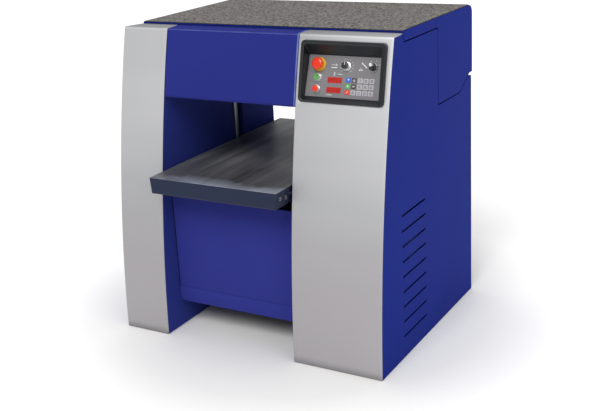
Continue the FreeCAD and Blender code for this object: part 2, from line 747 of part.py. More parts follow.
def toothed_disc():
    """Outline of a sprocket as points around the origin."""
    points = []
    for k in range(SPROCKET_TEETH * 4):
        r = SPROCKET if k % 4 in (0, 1) else SPROCKET - SPROCKET_DEPTH
        a = 2 * math.pi * (k + 0.5) / (SPROCKET_TEETH * 4)
        points.append((r * math.cos(a), r * math.sin(a)))
    return points


def sprocket_z(x, y, z):
    corners = [Vector(x + a, y + b, z[0]) for a, b in toothed_disc()]
    return Part.Face(Part.makePolygon(corners + [corners[0]])).extrude(Vector(0, 0, z[1] - z[0]))


def sprocket_x(x, y, z):
    return prism_x([(y + a, z + b) for a, b in toothed_disc()], x)


def lift_spindle(x, y):
    """Screw spindle with its sprocket pressed on near the foot."""
    spindle = bar_z(x, y, (SPINDLE_FOOT, SPINDLE_TOP), SPINDLE_RADIUS)
    bore = bar_z(x, y, (LIFT_CHAIN_Z[0] - 1.0, LIFT_CHAIN_Z[1] + 1.0), SPINDLE_RADIUS)
    return group([spindle, sprocket_z(x, y, LIFT_CHAIN_Z).cut(bore)])


def spindle_bearings():
    """Flanged bushes on the crossmembers."""
    bushes = []
    for sx in SPINDLE_X:
        for sy in SPINDLE_Y:
            top = CROSS_Z[1] + BEARING_HEIGHT
            flange = bar_z(sx, sy, (CROSS_Z[1], top), BUSH_RADIUS)
            bore = bar_z(sx, sy, (CROSS_Z[1] - 1.0, top + 1.0), SPINDLE_RADIUS + RUNNING)
            bushes.append(flange.cut(bore))
    return group(bushes)


def lift_motor():
    """Upright gear motor on its shelf."""
    foot = CROSS_Z[1]
    gearbox = box(mirrored_pair(LIFT_MOTOR_X, 76.0), mirrored_pair(LIFT_MOTOR_Y, 76.0), (foot, foot + 60.0))
    motor = bar_z(LIFT_MOTOR_X, LIFT_MOTOR_Y, (foot + 59.0, foot + 180.0), 34.0)
    return fuse([gearbox, motor]).cut(bar_z(LIFT_MOTOR_X, LIFT_MOTOR_Y, (foot - 1.0, foot + 22.0), 10.2))


def lift_drive_sprocket():
    """Output shaft of the lift motor with its sprocket."""
    shaft = bar_z(LIFT_MOTOR_X, LIFT_MOTOR_Y, (SPINDLE_FOOT, CROSS_Z[1] + 20.0), 10.0)
    return fuse([shaft, sprocket_z(LIFT_MOTOR_X, LIFT_MOTOR_Y, LIFT_CHAIN_Z)])


# ---------------------------------------------------------------- belts and chains
def tangent_points(a, b):
    """Outer tangent of two circles (u, v, r), on the right of the way from a to b."""
    du, dv = b[0] - a[0], b[1] - a[1]
    length = math.hypot(du, dv)
    base = math.atan2(dv, du)
    lift = math.acos((a[2] - b[2]) / length)
    angle = base - lift
    cu, cv = math.cos(angle), math.sin(angle)
    return (a[0] + a[2] * cu, a[1] + a[2] * cv), (b[0] + b[2] * cu, b[1] + b[2] * cv)


def loop_face(circles, place):
    """Face inside a taut loop around circles that are listed anticlockwise."""
    count = len(circles)
    runs = [tangent_points(circles[k], circles[(k + 1) % count]) for k in range(count)]
    edges = []
    for k in range(count):
        u, v, r = circles[k]
        arrive = runs[k - 1][1]
        leave = runs[k][0]
        start = math.atan2(arrive[1] - v, arrive[0] - u)
        sweep = (math.atan2(leave[1] - v, leave[0] - u) - start) % (2 * math.pi)
        middle = (u + r * math.cos(start + sweep / 2), v + r * math.sin(start + sweep / 2))
        edges.append(Part.Arc(place(arrive), place(middle), place(leave)).toShape())
        edges.append(Part.makeLine(place(leave), place(runs[k][1])))
    return closed_face(edges)


def loop_band(circles, thick, place, along):
    """Closed band of this thickness around the circles."""
    outer = [(u, v, r + thick) for u, v, r in circles]
    return loop_face(outer, place).extrude(along).cut(loop_face(circles, place).extrude(along))


def drive_chains():
    """Roller chain of the feed drive and roller chain of the lift, as plain bands."""
    reach = SPROCKET + CHAIN_CLEAR
    feed = [(CUT_Y, FEED_MOTOR_Z, reach), (OUTFEED_Y, ROLLER_Z, reach), (INFEED_Y, ROLLER_Z, reach)]
    x = FEED_CHAIN_X
    feed_band = loop_band(feed, CHAIN_THICK, lambda p: Vector(x[0], p[0], p[1]), Vector(x[1] - x[0], 0, 0))
    lift = [
        (SPINDLE_X[0], SPINDLE_Y[0], reach), (SPINDLE_X[1], SPINDLE_Y[0], reach),
        (LIFT_MOTOR_X, LIFT_MOTOR_Y, reach),
        (SPINDLE_X[1], SPINDLE_Y[1], reach), (SPINDLE_X[0], SPINDLE_Y[1], reach),
    ]
    z = LIFT_CHAIN_Z
    lift_band = loop_band(lift, CHAIN_THICK, lambda p: Vector(p[0], p[1], z[0]), Vector(0, 0, z[1] - z[0]))
    return group([feed_band, lift_band])


def drive_belts():
    """Belts from the main motor up to the cutterblock."""
    circles = [(CUT_Y, MOTOR_Z, MOTOR_PULLEY + BELT_CLEAR), (CUT_Y, CUT_AXIS_Z, CUTTER_PULLEY + BELT_CLEAR)]
    middle = sum(PULLEY_X) / 2
    belts = []
    for k in range(BELT_COUNT):
        centre = middle + (k - (BELT_COUNT - 1) / 2) * BELT_PITCH
        low = centre - BELT_WIDTH / 2
        band = loop_band(circles, BELT_THICK, lambda p: Vector(low, p[0], p[1]), Vector(BELT_WIDTH, 0, 0))
        belts.append(band)
    return group(belts)


def pulley(y, z, radius, bore):
    """Flanged pulley; the flanges stand on both sides of the belts."""
    x = PULLEY_X
    thick, rise = PULLEY_FLANGE
    body = bar_x(x, y, z, radius)
    flanges = [bar_x(side, y, z, radius + rise) for side in ((x[0], x[0] + thick), (x[1] - thick, x[1]))]
    return fuse([body] + flanges).cut(bar_x((x[0] - 1, x[1] + 1), y, z, bore))


# ---------------------------------------------------------------- cutterblock and rollers
def cutterblock():
    """Round block with four knife grooves, shrunk on a shaft that reaches the pulley."""
    body = bar_x((BLOCK_LEFT, BLOCK_RIGHT), CUT_Y, CUT_AXIS_Z, BLOCK_RADIUS)
    shaft = bar_x((LEFT_WALL - WALL - 18.0, PULLEY_X[1] + 4.0), CUT_Y, CUT_AXIS_Z, SHAFT_RADIUS)
    groove_x = (BLOCK_LEFT - 1, BLOCK_RIGHT + 1)
    groove = box(groove_x, (-GROOVE_HALF, GROOVE_HALF), (GROOVE_FLOOR, BLOCK_RADIUS + 4.0))
    grooves = [on_block(groove, k) for k in range(KNIFE_COUNT)]
    return group([body.cut(grooves + [shaft]), shaft])


def on_block(shape, k):
    """Place a piece drawn above the X axis at one knife station of the block."""
    turned = shape.copy()
    turned.rotate(Vector(0, 0, 0), Vector(1, 0, 0), 45.0 + 360.0 * k / KNIFE_COUNT)
    turned.translate(Vector(0, CUT_Y, CUT_AXIS_Z))
    return turned


def cutter_knives():
    """Four straight knives, each with the gib that clamps it."""
    x = (BLOCK_LEFT + 0.5, BLOCK_RIGHT - 0.5)
    foot = GROOVE_FLOOR + 1.0
    cutting_side = KNIFE_FIT - GROOVE_HALF
    back_side = cutting_side + KNIFE_THICK
    heel, tip = BLOCK_RADIUS - 1.0, CUT_RADIUS - 0.4
    profile = [(cutting_side, foot), (back_side, foot), (back_side, heel), (cutting_side, tip)]
    knife = prism_x(profile, x)
    gib = box(x, (back_side + KNIFE_FIT, GROOVE_HALF - KNIFE_FIT), (foot, BLOCK_RADIUS - 2.0))
    return group([on_block(piece, k) for k in range(KNIFE_COUNT) for piece in (knife, gib)])


def cutter_pulley():
    return pulley(CUT_Y, CUT_AXIS_Z, CUTTER_PULLEY, SHAFT_RADIUS)


def motor_pulley():
    """Pulley on the stub of the motor shaft."""
    shaft = bar_x((PULLEY_X[0], PULLEY_X[1] + 30.0), CUT_Y, MOTOR_Z, MOTOR_SHAFT)
    return fuse([pulley(CUT_Y, MOTOR_Z, MOTOR_PULLEY, MOTOR_SHAFT), shaft])


def main_motor():
    """Foot-mounted motor: finned barrel, end shield, feet and terminal box."""
    x = (PULLEY_X[1] + 8.0, 490.0)
    barrel = bar_x(x, CUT_Y, MOTOR_Z, MOTOR_RADIUS - 8.0)
    count, pitch, thick = MOTOR_FINS
    fin_starts = [x[0] + 30.0 + pitch * k for k in range(count)]
    fins = [bar_x((start, start + thick), CUT_Y, MOTOR_Z, MOTOR_RADIUS) for start in fin_starts]
    feet = box((x[0] + 20.0, x[1] - 50.0), mirrored_pair(CUT_Y, 160.0), (MAIN_SHELF_Z, MAIN_SHELF_Z + 30.0))
    lid_z = (MOTOR_Z + 80.0, MOTOR_Z + 125.0)
    terminal_box = box((x[0] + 60.0, x[0] + 150.0), mirrored_pair(CUT_Y, 100.0), lid_z)
    bore = bar_x((x[0] - 1.0, x[0] + 30.0), CUT_Y, MOTOR_Z, MOTOR_SHAFT + 0.3)
    return fuse([barrel, feet, terminal_box] + fins).cut(bore)


def feed_motor():
    """Gear motor of the feed rollers on its shelf in the left column."""
    gearbox = box((-440.0, -392.0), mirrored_pair(CUT_Y, 100.0), (FEED_SHELF_Z, FEED_SHELF_Z + 120.0))
    motor = bar_x((-518.0, -439.0), CUT_Y, FEED_MOTOR_Z - 10.0, 52.0)
    return fuse([gearbox, motor]).cut(bar_x((-420.0, -391.0), CUT_Y, FEED_MOTOR_Z, 10.2))


def feed_drive_sprocket():
    """Output shaft of the feed motor with its sprocket."""
    shaft = bar_x((-415.0, FEED_CHAIN_X[1] + 3.0), CUT_Y, FEED_MOTOR_Z, 10.0)
    return fuse([shaft, sprocket_x(FEED_CHAIN_X, CUT_Y, FEED_MOTOR_Z)])


def roller_core(y):
    """Shaft of a feed roller; it reaches the chain on the left."""
    return bar_x((FEED_CHAIN_X[0] - 4.0, RIGHT_WALL + WALL - 1.0), y, ROLLER_Z, ROLLER_SHAFT)


def roller_with_sprocket(body, y):
    roller = fuse([body, roller_core(y)])
    bore = bar_x((FEED_CHAIN_X[0] - 1, FEED_CHAIN_X[1] + 1), y, ROLLER_Z, ROLLER_SHAFT)
    sprocket = sprocket_x(FEED_CHAIN_X, y, ROLLER_Z).cut(bore)
    return group([roller, sprocket])


def infeed_roller():
    """Steel roller with sharp flutes that grip the rough board."""
    flutes = 36
    points = []
    for k in range(flutes * 2):
        r = ROLLER_RADIUS if k % 2 == 0 else ROLLER_RADIUS - 2.0
        a = math.pi * k / flutes
        points.append((INFEED_Y + r * math.cos(a), ROLLER_Z + r * math.sin(a)))
    return roller_with_sprocket(prism_x(points, (BLOCK_LEFT, BLOCK_RIGHT)), INFEED_Y)


def outfeed_roller():
    """Smooth roller that carries the planed board out."""
    body = bar_x((BLOCK_LEFT, BLOCK_RIGHT), OUTFEED_Y, ROLLER_Z, ROLLER_RADIUS - 0.5)
    return roller_with_sprocket(body, OUTFEED_Y)


def cutter_bearing(wall, sleeve, flange):
    """Housing in one wall: flange on the column side, sleeve into the throat."""
    body = fuse([
        bar_x(flange, CUT_Y, CUT_AXIS_Z, 52.0),
        bar_x(wall, CUT_Y, CUT_AXIS_Z, BEARING_SEAT),
        bar_x(sleeve, CUT_Y, CUT_AXIS_Z, SLEEVE_RADIUS),
    ])
    return body.cut(bar_x((wall[0] - 30.0, wall[1] + 30.0), CUT_Y, CUT_AXIS_Z, SHAFT_RADIUS + RUNNING))


def roller_bearing(wall, y):
    """Sliding block for the end of one feed roller."""
    block = box(wall, mirrored_pair(y, ROLLER_BLOCK - 0.4), (ROLLER_Z - 25.8, ROLLER_Z + 25.0))
    return block.cut(bar_x((wall[0] - 1, wall[1] + 1), y, ROLLER_Z, ROLLER_SHAFT + RUNNING))


def head_bearings():
    left = (LEFT_WALL - WALL, LEFT_WALL)
    right = (RIGHT_WALL, RIGHT_WALL + WALL)
    housings = [
        cutter_bearing(left, (LEFT_WALL, LEFT_WALL + 8.5), (left[0] - 8.0, left[0])),
        cutter_bearing(right, (RIGHT_WALL - 8.5, RIGHT_WALL), (right[1], right[1] + 8.0)),
    ]
    blocks = [roller_bearing(w, y) for w in (left, right) for y in (INFEED_Y, OUTFEED_Y)]
    return group(housings + blocks)


def ring_sector(x, inner, outer, angles):
    """Part of a ring about the cutterblock axis; angles in degrees from +Y towards +Z."""
    def at(radius, angle):
        a = math.radians(angle)
        return Vector(x[0], CUT_Y + radius * math.cos(a), CUT_AXIS_Z + radius * math.sin(a))
    middle = sum(angles) / 2
    edges = [
        Part.Arc(at(inner, angles[0]), at(inner, middle), at(inner, angles[1])).toShape(),
        Part.Arc(at(outer, angles[0]), at(outer, middle), at(outer, angles[1])).toShape(),
        Part.makeLine(at(inner, angles[0]), at(outer, angles[0])),
        Part.makeLine(at(inner, angles[1]), at(outer, angles[1])),
    ]
    return closed_face(edges).extrude(Vector(x[1] - x[0], 0, 0))


def chip_breaker():
    """Curved bar in front of the cutterblock on two arms that swing on the bearing sleeves.

    Bar and eyes are made of sectors that touch, so that each one stays nearly convex.
    """
    ends = ((LEFT_WALL + 3.0, LEFT_WALL + 8.0), (RIGHT_WALL - 8.0, RIGHT_WALL - 3.0))
    whole = (ends[0][0], ends[1][1])
    eye = SLEEVE_RADIUS + 8.0
    inner, outer = BREAKER_RADII
    low, middle, high = BREAKER_ANGLES
    pieces = [ring_sector(whole, inner, outer, pair) for pair in ((low, middle), (middle, high))]
    for x in ends:
        pieces.append(ring_sector(x, eye, inner, (low + 5.0, high - 5.0)))
        for quarter in range(4):
            angles = (90.0 * quarter, 90.0 * quarter + 90.0)
            pieces.append(ring_sector(x, SLEEVE_RADIUS + RUNNING, eye, angles))
    return group(pieces)


def kickback_shaft():
    return bar_x((LEFT_WALL, RIGHT_WALL), KICK_Y, KICK_Z, KICK_SHAFT)


def kickback_fingers():
    """Row of hooked fingers that hang from the shaft and trail towards the rear."""
    outline = [
        (KICK_Y - 13.0, KICK_Z + 4.0), (KICK_Y - 8.0, KICK_Z + 13.0), (KICK_Y + 8.0, KICK_Z + 13.0),
        (KICK_Y + 14.0, KICK_Z), (KICK_Y + 25.0, KICK_Z - 52.0), (KICK_Y + 22.0, KICK_Z - 56.0),
        (KICK_Y + 6.0, KICK_Z - 40.0), (KICK_Y - 10.0, KICK_Z - 12.0),
    ]
    first = THROAT_X - KICK_PITCH * (KICK_COUNT - 1) / 2
    fingers = []
    for k in range(KICK_COUNT):
        x = mirrored_pair(first + KICK_PITCH * k, KICK_THICK)
        bore = bar_x((x[0] - 1, x[1] + 1), KICK_Y, KICK_Z, KICK_SHAFT + RUNNING)
        fingers.append(prism_x(outline, x).cut(bore))
    return group(fingers)


# ---------------------------------------------------------------- hood
def hood_outline(x):
    """Side outline of the hood in the plane at x, with a round top rear corner."""
    corner = HOOD_CORNER
    diagonal = corner * (1 - math.sqrt(0.5))
    points = [
        (HOOD_FRONT[0], HOOD_TOP), (HOOD_FRONT[1], HOOD_LID_LOW), (HOOD_STEP_Y, HOOD_LID_LOW),
        (HOOD_STEP_Y, HOOD_LOW), (HOOD_SLOPE_Y[0], HOOD_LOW), (HOOD_SLOPE_Y[1], HOOD_REAR_LOW - 8.0),
        (HOOD_SLOPE_Y[2], HOOD_REAR_LOW), (HOOD_BACK, HOOD_REAR_LOW), (HOOD_BACK, HOOD_TOP - corner),
    ]
    end = (HOOD_BACK - corner, HOOD_TOP)
    middle = (HOOD_BACK - diagonal, HOOD_TOP - diagonal)
    edges = [Part.makeLine(Vector(x, *a), Vector(x, *b)) for a, b in zip(points[:-1], points[1:])]
    edges.append(Part.Arc(Vector(x, *points[-1]), Vector(x, *middle), Vector(x, *end)).toShape())
    edges.append(Part.makeLine(Vector(x, *end), Vector(x, *points[0])))
    return edges


def hood():
    """Sheet-metal hood over the head, open below, with the hole of the dust outlet."""
    solid = closed_face(hood_outline(HOOD_LEFT)).extrude(Vector(HALF - HOOD_LEFT, 0, 0))
    x = (HOOD_LEFT + SHEET, HALF - SHEET)
    inner_back = HOOD_BACK - SHEET
    corner = HOOD_CORNER - SHEET
    diagonal = corner * (1 - math.sqrt(0.5))
    top = HOOD_TOP - SHEET
    inner_front = HOOD_FRONT[1] + 3.5
    below = HOOD_LOW - 100.0
    path = [
        (HOOD_FRONT[0] + 4.0, top), (inner_front, HOOD_LID_LOW - 2.0), (inner_front, below),
        (inner_back, below), (inner_back, top - corner),
    ]
    edges = [Part.makeLine(Vector(x[0], *a), Vector(x[0], *b)) for a, b in zip(path[:-1], path[1:])]
    end = Vector(x[0], inner_back - corner, top)
    middle = Vector(x[0], inner_back - diagonal, top - diagonal)
    edges.append(Part.Arc(Vector(x[0], *path[-1]), middle, end).toShape())
    edges.append(Part.makeLine(end, Vector(x[0], *path[0])))
    cavity = closed_face(edges).extrude(Vector(x[1] - x[0], 0, 0))
    hole = bar_y(THROAT_X, (inner_back - 5.0, HOOD_BACK + 5.0), OUTLET_Z, OUTLET_RADIUS - OUTLET_WALL)
    throat_x = (LEFT_WALL - 2.0, RIGHT_WALL + 2.0)
    board_way = box(throat_x, (inner_back - 5.0, HOOD_BACK + 5.0), (HOOD_REAR_LOW - 1.0, HOOD_THROAT_LOW))
    return solid.cut(cavity).cut([hole, board_way])


def top_mat():
    """Non-slip mat bonded to the top of the hood."""
    y = (HOOD_FRONT[0] + 2.0, HOOD_BACK - HOOD_CORNER)
    return box((HOOD_LEFT + 2.0, HALF - 2.0), y, (HOOD_TOP, HOOD_TOP + MAT))


def dust_outlet():
    """Round collar for a 160 mm hose with its flange."""
    y = (HOOD_BACK, HOOD_BACK + OUTLET_LENGTH)
    collar = bar_y(THROAT_X, y, OUTLET_Z, OUTLET_RADIUS)
    flange = bar_y(THROAT_X, (y[0], y[0] + OUTLET_FLANGE[0]), OUTLET_Z, OUTLET_FLANGE[1])
    bore = bar_y(THROAT_X, (y[0] - 1.0, y[1] + 1.0), OUTLET_Z, OUTLET_RADIUS - OUTLET_WALL)
    return fuse([collar, flange]).cut(bore)


def hinge_base_leaves():
    """Leaves on the rear panels, each with two knuckles and the pin."""
    leaves = []
    third = HINGE_WIDTH / 3
    for centre in HINGE_X:
        x = mirrored_pair(centre, HINGE_WIDTH)
        leaf = box(x, (BODY_BACK, BODY_BACK + HINGE_LEAF), (830.0, REAR_TOP + 1.0))
        pieces = [leaf, bar_x(x, HINGE_Y, HINGE_Z, HINGE_PIN)]
        for end in ((x[0], x[0] + third - 0.3), (x[1] - third + 0.3, x[1])):
            pieces.append(bar_x(end, HINGE_Y, HINGE_Z, HINGE_KNUCKLE))
            pieces.append(box(end, (BODY_BACK, HINGE_Y), (REAR_TOP + 0.5, HINGE_Z - 1.0)))
        leaves.append(fuse(pieces))
    return group(leaves)


def hinge_hood_leaves():
    """Leaves inside the rear wall of the hood with the middle knuckles."""
    leaves = []
    third = HINGE_WIDTH / 3
    inner_back = HOOD_BACK - SHEET
    for centre in HINGE_X:
        x = mirrored_pair(centre, HINGE_WIDTH)
        middle = (x[0] + third + 0.3, x[1] - third - 0.3)
        leaf_y = (inner_back - HINGE_LEAF, inner_back)
        leaf = box(x, leaf_y, (HOOD_REAR_LOW + 2.0, 915.0))
        web = box(middle, leaf_y, (HINGE_Z, HOOD_REAR_LOW + 3.0))
        knuckle = bar_x(middle, HINGE_Y, HINGE_Z, HINGE_KNUCKLE)
        bore = bar_x((middle[0] - 1, middle[1] + 1), HINGE_Y, HINGE_Z, HINGE_PIN + RUNNING)
        leaves.append(fuse([leaf, web, knuckle]).cut(bore))
    return group(leaves)


# ---------------------------------------------------------------- control panel
def on_plate(shape):
    """Place a piece drawn with x across, z up the plate and -y out of it."""
    placed = shape.copy()
    turn = FreeCAD.Rotation(Vector(1, 0, 0), -PLATE_TILT)
    placed.Placement = FreeCAD.Placement(Vector(0, PLATE_Y, PLATE_Z), turn)
    return placed


def plate_disc(at, out, radius):
    """Round piece on the plate between two distances from its face."""
    return Part.makeCylinder(radius, out[1] - out[0], Vector(at[0], -out[0], at[1]), Vector(0, -1, 0))


def bowl_points(grow):
    """Corners of the recess as (y, z), behind the lip, grown outwards."""
    tilt = math.radians(PLATE_TILT)
    behind = PLATE_THICK + grow
    back = (behind * math.cos(tilt), -behind * math.sin(tilt))
    top_y = PLATE_Y + PLATE_HEIGHT * math.sin(tilt)
    top_z = PLATE_Z + PLATE_HEIGHT * math.cos(tilt)
    return [
        (60.0, BOWL_LIP_Z[0] - 3.0 - grow),
        (PLATE_Y + back[0] + grow * 0.1, PLATE_Z + back[1] - grow * 0.9),
        (top_y + back[0] + grow * 0.6, top_z + back[1] + grow * 0.8),
        (top_y + grow * 0.7, top_z + grow * 1.1),
        (front_y(BOWL_LIP_Z[1]) + grow * 0.5, BOWL_LIP_Z[1] + grow),
        (60.0, BOWL_LIP_Z[1] + grow),
    ]


def control_bezel():
    """Black frame and bowl of the control panel in one moulding."""
    outer = prism_x(bowl_points(BOWL_WALL), (BOWL_X[0] - BOWL_WALL, BOWL_X[1] + BOWL_WALL))
    band_x = (BEZEL_X[0] - 5, BEZEL_X[1] + 5)
    outer = outer.common(front_arc_band(band_x, -1.0, 140.0, (880.0, 1112.0)))
    rim = rounded_opening(BEZEL_X, BEZEL_Z, BEZEL_CORNER, (60.0, 260.0))
    rim = rim.common(front_arc_band(band_x, -BEZEL_PROUD, 0.0, (880.0, 1112.0)))
    cavity = prism_x(bowl_points(0.0), BOWL_X)
    return fuse([outer, rim]).cut(cavity)


def control_plate():
    plate = box((BOWL_X[0], BOWL_X[1]), (0.05, PLATE_THICK), (0.0, PLATE_HEIGHT - 0.3))
    return on_plate(plate)


def estop_base():
    """Yellow disc and collar under the emergency stop."""
    at = (BUTTON_X, ESTOP_V)
    body = fuse([plate_disc(at, (0.0, 3.0), 23.5), plate_disc(at, (2.0, 9.0), 14.0)])
    return on_plate(body.cut(plate_disc(at, (-1.0, 10.0), 9.0 + RUNNING)))


def estop_button():
    """Mushroom head on its stem."""
    at = (BUTTON_X, ESTOP_V)
    stem = plate_disc(at, (6.2, 17.0), 9.0)
    head = plate_disc(at, (15.5, 26.0), 21.0)
    rims = [e for e in head.Edges if e.Curve.TypeId == "Part::GeomCircle" and e.BoundBox.YMax < -25.0]
    return on_plate(fuse([stem, head.makeFillet(6.0, rims)]))


def button_collars():
    """Bright rings of the two push buttons, the speed knob and the selector."""
    rings = []
    sizes = (
        ((BUTTON_X, START_V), 15.0, 11.5 + RUNNING, 6.0),
        ((BUTTON_X, STOP_V), 15.0, 11.5 + RUNNING, 6.0),
        (KNOB_AT, 17.5, 8.0 + RUNNING, 4.0),
        (SELECTOR_AT, 16.0, 8.0 + RUNNING, 4.0),
    )
    for at, outer, inner, height in sizes:
        rings.append(on_plate(plate_disc(at, (0.0, height), outer).cut(plate_disc(at, (-1.0, 9.0), inner))))
    return group(rings)


def push_button(v):
    return on_plate(plate_disc((BUTTON_X, v), (3.5, 13.5), 11.5))


def start_button():
    return push_button(START_V)


def stop_button():
    return push_button(STOP_V)


def speed_knob():
    """Pointer knob with a stem into its ring."""
    stem = plate_disc(KNOB_AT, (0.3, 6.0), 8.0)
    body = plate_disc(KNOB_AT, (4.3, 20.0), 13.0)
    pointer = box(mirrored_pair(KNOB_AT[0], 3.0), (-21.0, -19.0), (KNOB_AT[1], KNOB_AT[1] + 12.0))
    return on_plate(fuse([stem, body, pointer]))


def mode_selector():
    """Selector with a raised wing for the fingers."""
    stem = plate_disc(SELECTOR_AT, (0.3, 6.0), 8.0)
    body = plate_disc(SELECTOR_AT, (4.3, 10.0), 13.0)
    wing_z = mirrored_pair(SELECTOR_AT[1], 24.0)
    wing = box(mirrored_pair(SELECTOR_AT[0], 8.0), (-21.0, -9.0), wing_z)
    wing.rotate(Vector(SELECTOR_AT[0], 0, SELECTOR_AT[1]), Vector(0, -1, 0), SELECTOR_REST)
    return on_plate(fuse([stem, body, wing]))


def display_windows():
    windows = []
    for v in DISPLAY_V:
        x = mirrored_pair(DISPLAY_X, DISPLAY_SIZE[0])
        windows.append(on_plate(box(x, (-1.5, 0.0), mirrored_pair(v, DISPLAY_SIZE[1]))))
    return group(windows)


def keypad_keys():
    """Low domes of the sealed keypad."""
    keys = []
    for i in range(KEY_GRID[0]):
        for j in range(KEY_GRID[1]):
            x = mirrored_pair(KEY_FIRST[0] + i * KEY_PITCH[0], KEY_SIZE[0])
            z = mirrored_pair(KEY_FIRST[1] + j * KEY_PITCH[1], KEY_SIZE[1])
            keys.append(on_plate(box(x, (-1.2, 0.0), z)))
    return group(keys)


# ---------------------------------------------------------------- small hardware
def cable_gland():
    """Gland for the supply cable in the right rear panel."""
    ends = (BODY_BACK - 16.0, BODY_BACK + 20.0)
    nut = bar_y(GLAND_X, (BODY_BACK, BODY_BACK + 6.0), GLAND_Z, 15.0)
    neck = bar_y(GLAND_X, ends, GLAND_Z, GLAND_NECK)
    bore = bar_y(GLAND_X, (ends[0] - 1.0, ends[1] + 1.0), GLAND_Z, GLAND_BORE)
    return fuse([nut, neck]).cut(bore)


def panel_screws():
    """Dome-head screws of the rear panels."""
    screws = []
    inset = SCREW_INSET
    for x in (inset - HALF, LEFT_WALL - inset, RIGHT_WALL + inset, HALF - inset):
        for z in SCREW_Z:
            head = bar_y(x, (BODY_BACK, BODY_BACK + 3.0), z, 6.0)
            screws.append(head.cut(bar_y(x, (BODY_BACK + 1.5, BODY_BACK + 4.0), z, 2.2)))
    return group(screws)


# ---------------------------------------------------------------- export
NODES = {
    "base_pans": base_pans,
    "left_side_frame": left_side_frame,
    "right_side_frame": right_side_frame,
    "left_side_panel": left_side_panel,
    "right_side_panel": right_side_panel,
    "left_front_cover": left_front_cover,
    "right_front_cover": right_front_cover,
    "head_front_panel": head_front_panel,
    "lower_front_panel": lower_front_panel,
    "rear_panels": rear_panels,
    "crossmembers": crossmembers,
    "head_bridges": head_bridges,
    "chip_chute": chip_chute,
    "pressure_bar": pressure_bar,
    "guide_rails": guide_rails,
    "spindle_bearings": spindle_bearings,
    "head_bearings": head_bearings,
    "main_motor": main_motor,
    "feed_motor": feed_motor,
    "lift_motor": lift_motor,
    "hinge_base_leaves": hinge_base_leaves,
    "kickback_shaft": kickback_shaft,
    "drive_chains": drive_chains,
    "drive_belts": drive_belts,
    "panel_screws": panel_screws,
    "cable_gland": cable_gland,
    "control_bezel": control_bezel,
    "control_plate": control_plate,
    "estop_base": estop_base,
    "button_collars": button_collars,
    "display_windows": display_windows,
    "keypad_keys": keypad_keys,
    "table": table,
    "table_guide_shoes": table_guide_shoes,
    "table_end_bolts": table_end_bolts,
    "lift_tubes": lift_tubes,
    "lift_nuts": lift_nuts,
    "lift_drive_sprocket": lift_drive_sprocket,
    "hood": hood,
    "top_mat": top_mat,
    "dust_outlet": dust_outlet,
    "hinge_hood_leaves": hinge_hood_leaves,
    "cutterblock": cutterblock,
    "cutter_knives": cutter_knives,
    "cutter_pulley": cutter_pulley,
    "motor_pulley": motor_pulley,
    "infeed_roller": infeed_roller,
    "outfeed_roller": outfeed_roller,
    "feed_drive_sprocket": feed_drive_sprocket,
    "kickback_fingers": kickback_fingers,
    "chip_breaker": chip_breaker,
    "estop_button": estop_button,
    "start_button": start_button,
    "stop_button": stop_button,
    "speed_knob": speed_knob,
    "mode_selector": mode_selector,
}

os.makedirs("parts", exist_ok=True)
for node_name, make_node in NODES.items():
    save(node_name, make_node())
for row_name, spindle_y in zip(("front", "rear"), SPINDLE_Y):
    for side_name, spindle_x in zip(("left", "right"), SPINDLE_X):
        save("lift_spindle_" + row_name + "_" + side_name, lift_spindle(spindle_x, spindle_y))
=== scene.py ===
import json
import math

import bmesh
import bpy
import numpy as np
from bpy.props import FloatProperty, FloatVectorProperty, IntProperty, PointerProperty
from mathutils import Matrix, Vector


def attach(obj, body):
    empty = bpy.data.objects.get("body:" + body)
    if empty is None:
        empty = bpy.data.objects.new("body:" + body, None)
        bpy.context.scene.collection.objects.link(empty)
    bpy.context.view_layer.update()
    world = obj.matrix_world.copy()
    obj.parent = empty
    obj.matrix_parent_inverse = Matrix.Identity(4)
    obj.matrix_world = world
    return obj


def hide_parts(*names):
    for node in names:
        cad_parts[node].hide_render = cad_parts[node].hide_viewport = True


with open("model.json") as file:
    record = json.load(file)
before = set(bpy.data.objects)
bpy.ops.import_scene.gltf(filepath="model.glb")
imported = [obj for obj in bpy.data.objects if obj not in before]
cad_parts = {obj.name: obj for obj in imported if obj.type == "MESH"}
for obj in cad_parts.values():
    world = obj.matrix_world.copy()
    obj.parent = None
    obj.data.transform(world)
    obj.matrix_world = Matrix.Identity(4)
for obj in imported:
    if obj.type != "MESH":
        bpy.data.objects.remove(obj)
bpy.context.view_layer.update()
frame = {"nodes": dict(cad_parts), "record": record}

bl_info = {
    "name": "Thickness planer",
    "version": (1, 0, 0),
    "blender": (4, 5, 0),
    "location": "View3D > Sidebar > Planer",
    "description": "Makes the visible pieces and the finishes of a free-standing thickness planer",
    "category": "Object",
}

# Shapes are worked out in millimetres with X across, Y towards the rear from the foot of the two
# front covers, and Z up. place() moves them to the frame of the part, in metres.
MM = 0.001
FRONT_TO_MIDDLE = 437.0

# sizes that part.py gives these pieces
HALF_WIDTH = 535.0
LEFT_WALL = -344.0
RIGHT_WALL = 196.0
HOOD_LEFT = -503.0
HOOD_TOP = 1131.0
SHOULDER_GAP = 1.0
STRIP_CUT_Y = 162.0
GUIDE_FRONT = 540.0
FRONT_RADIUS = 4870.0
FRONT_LEAN = math.radians(1.15)
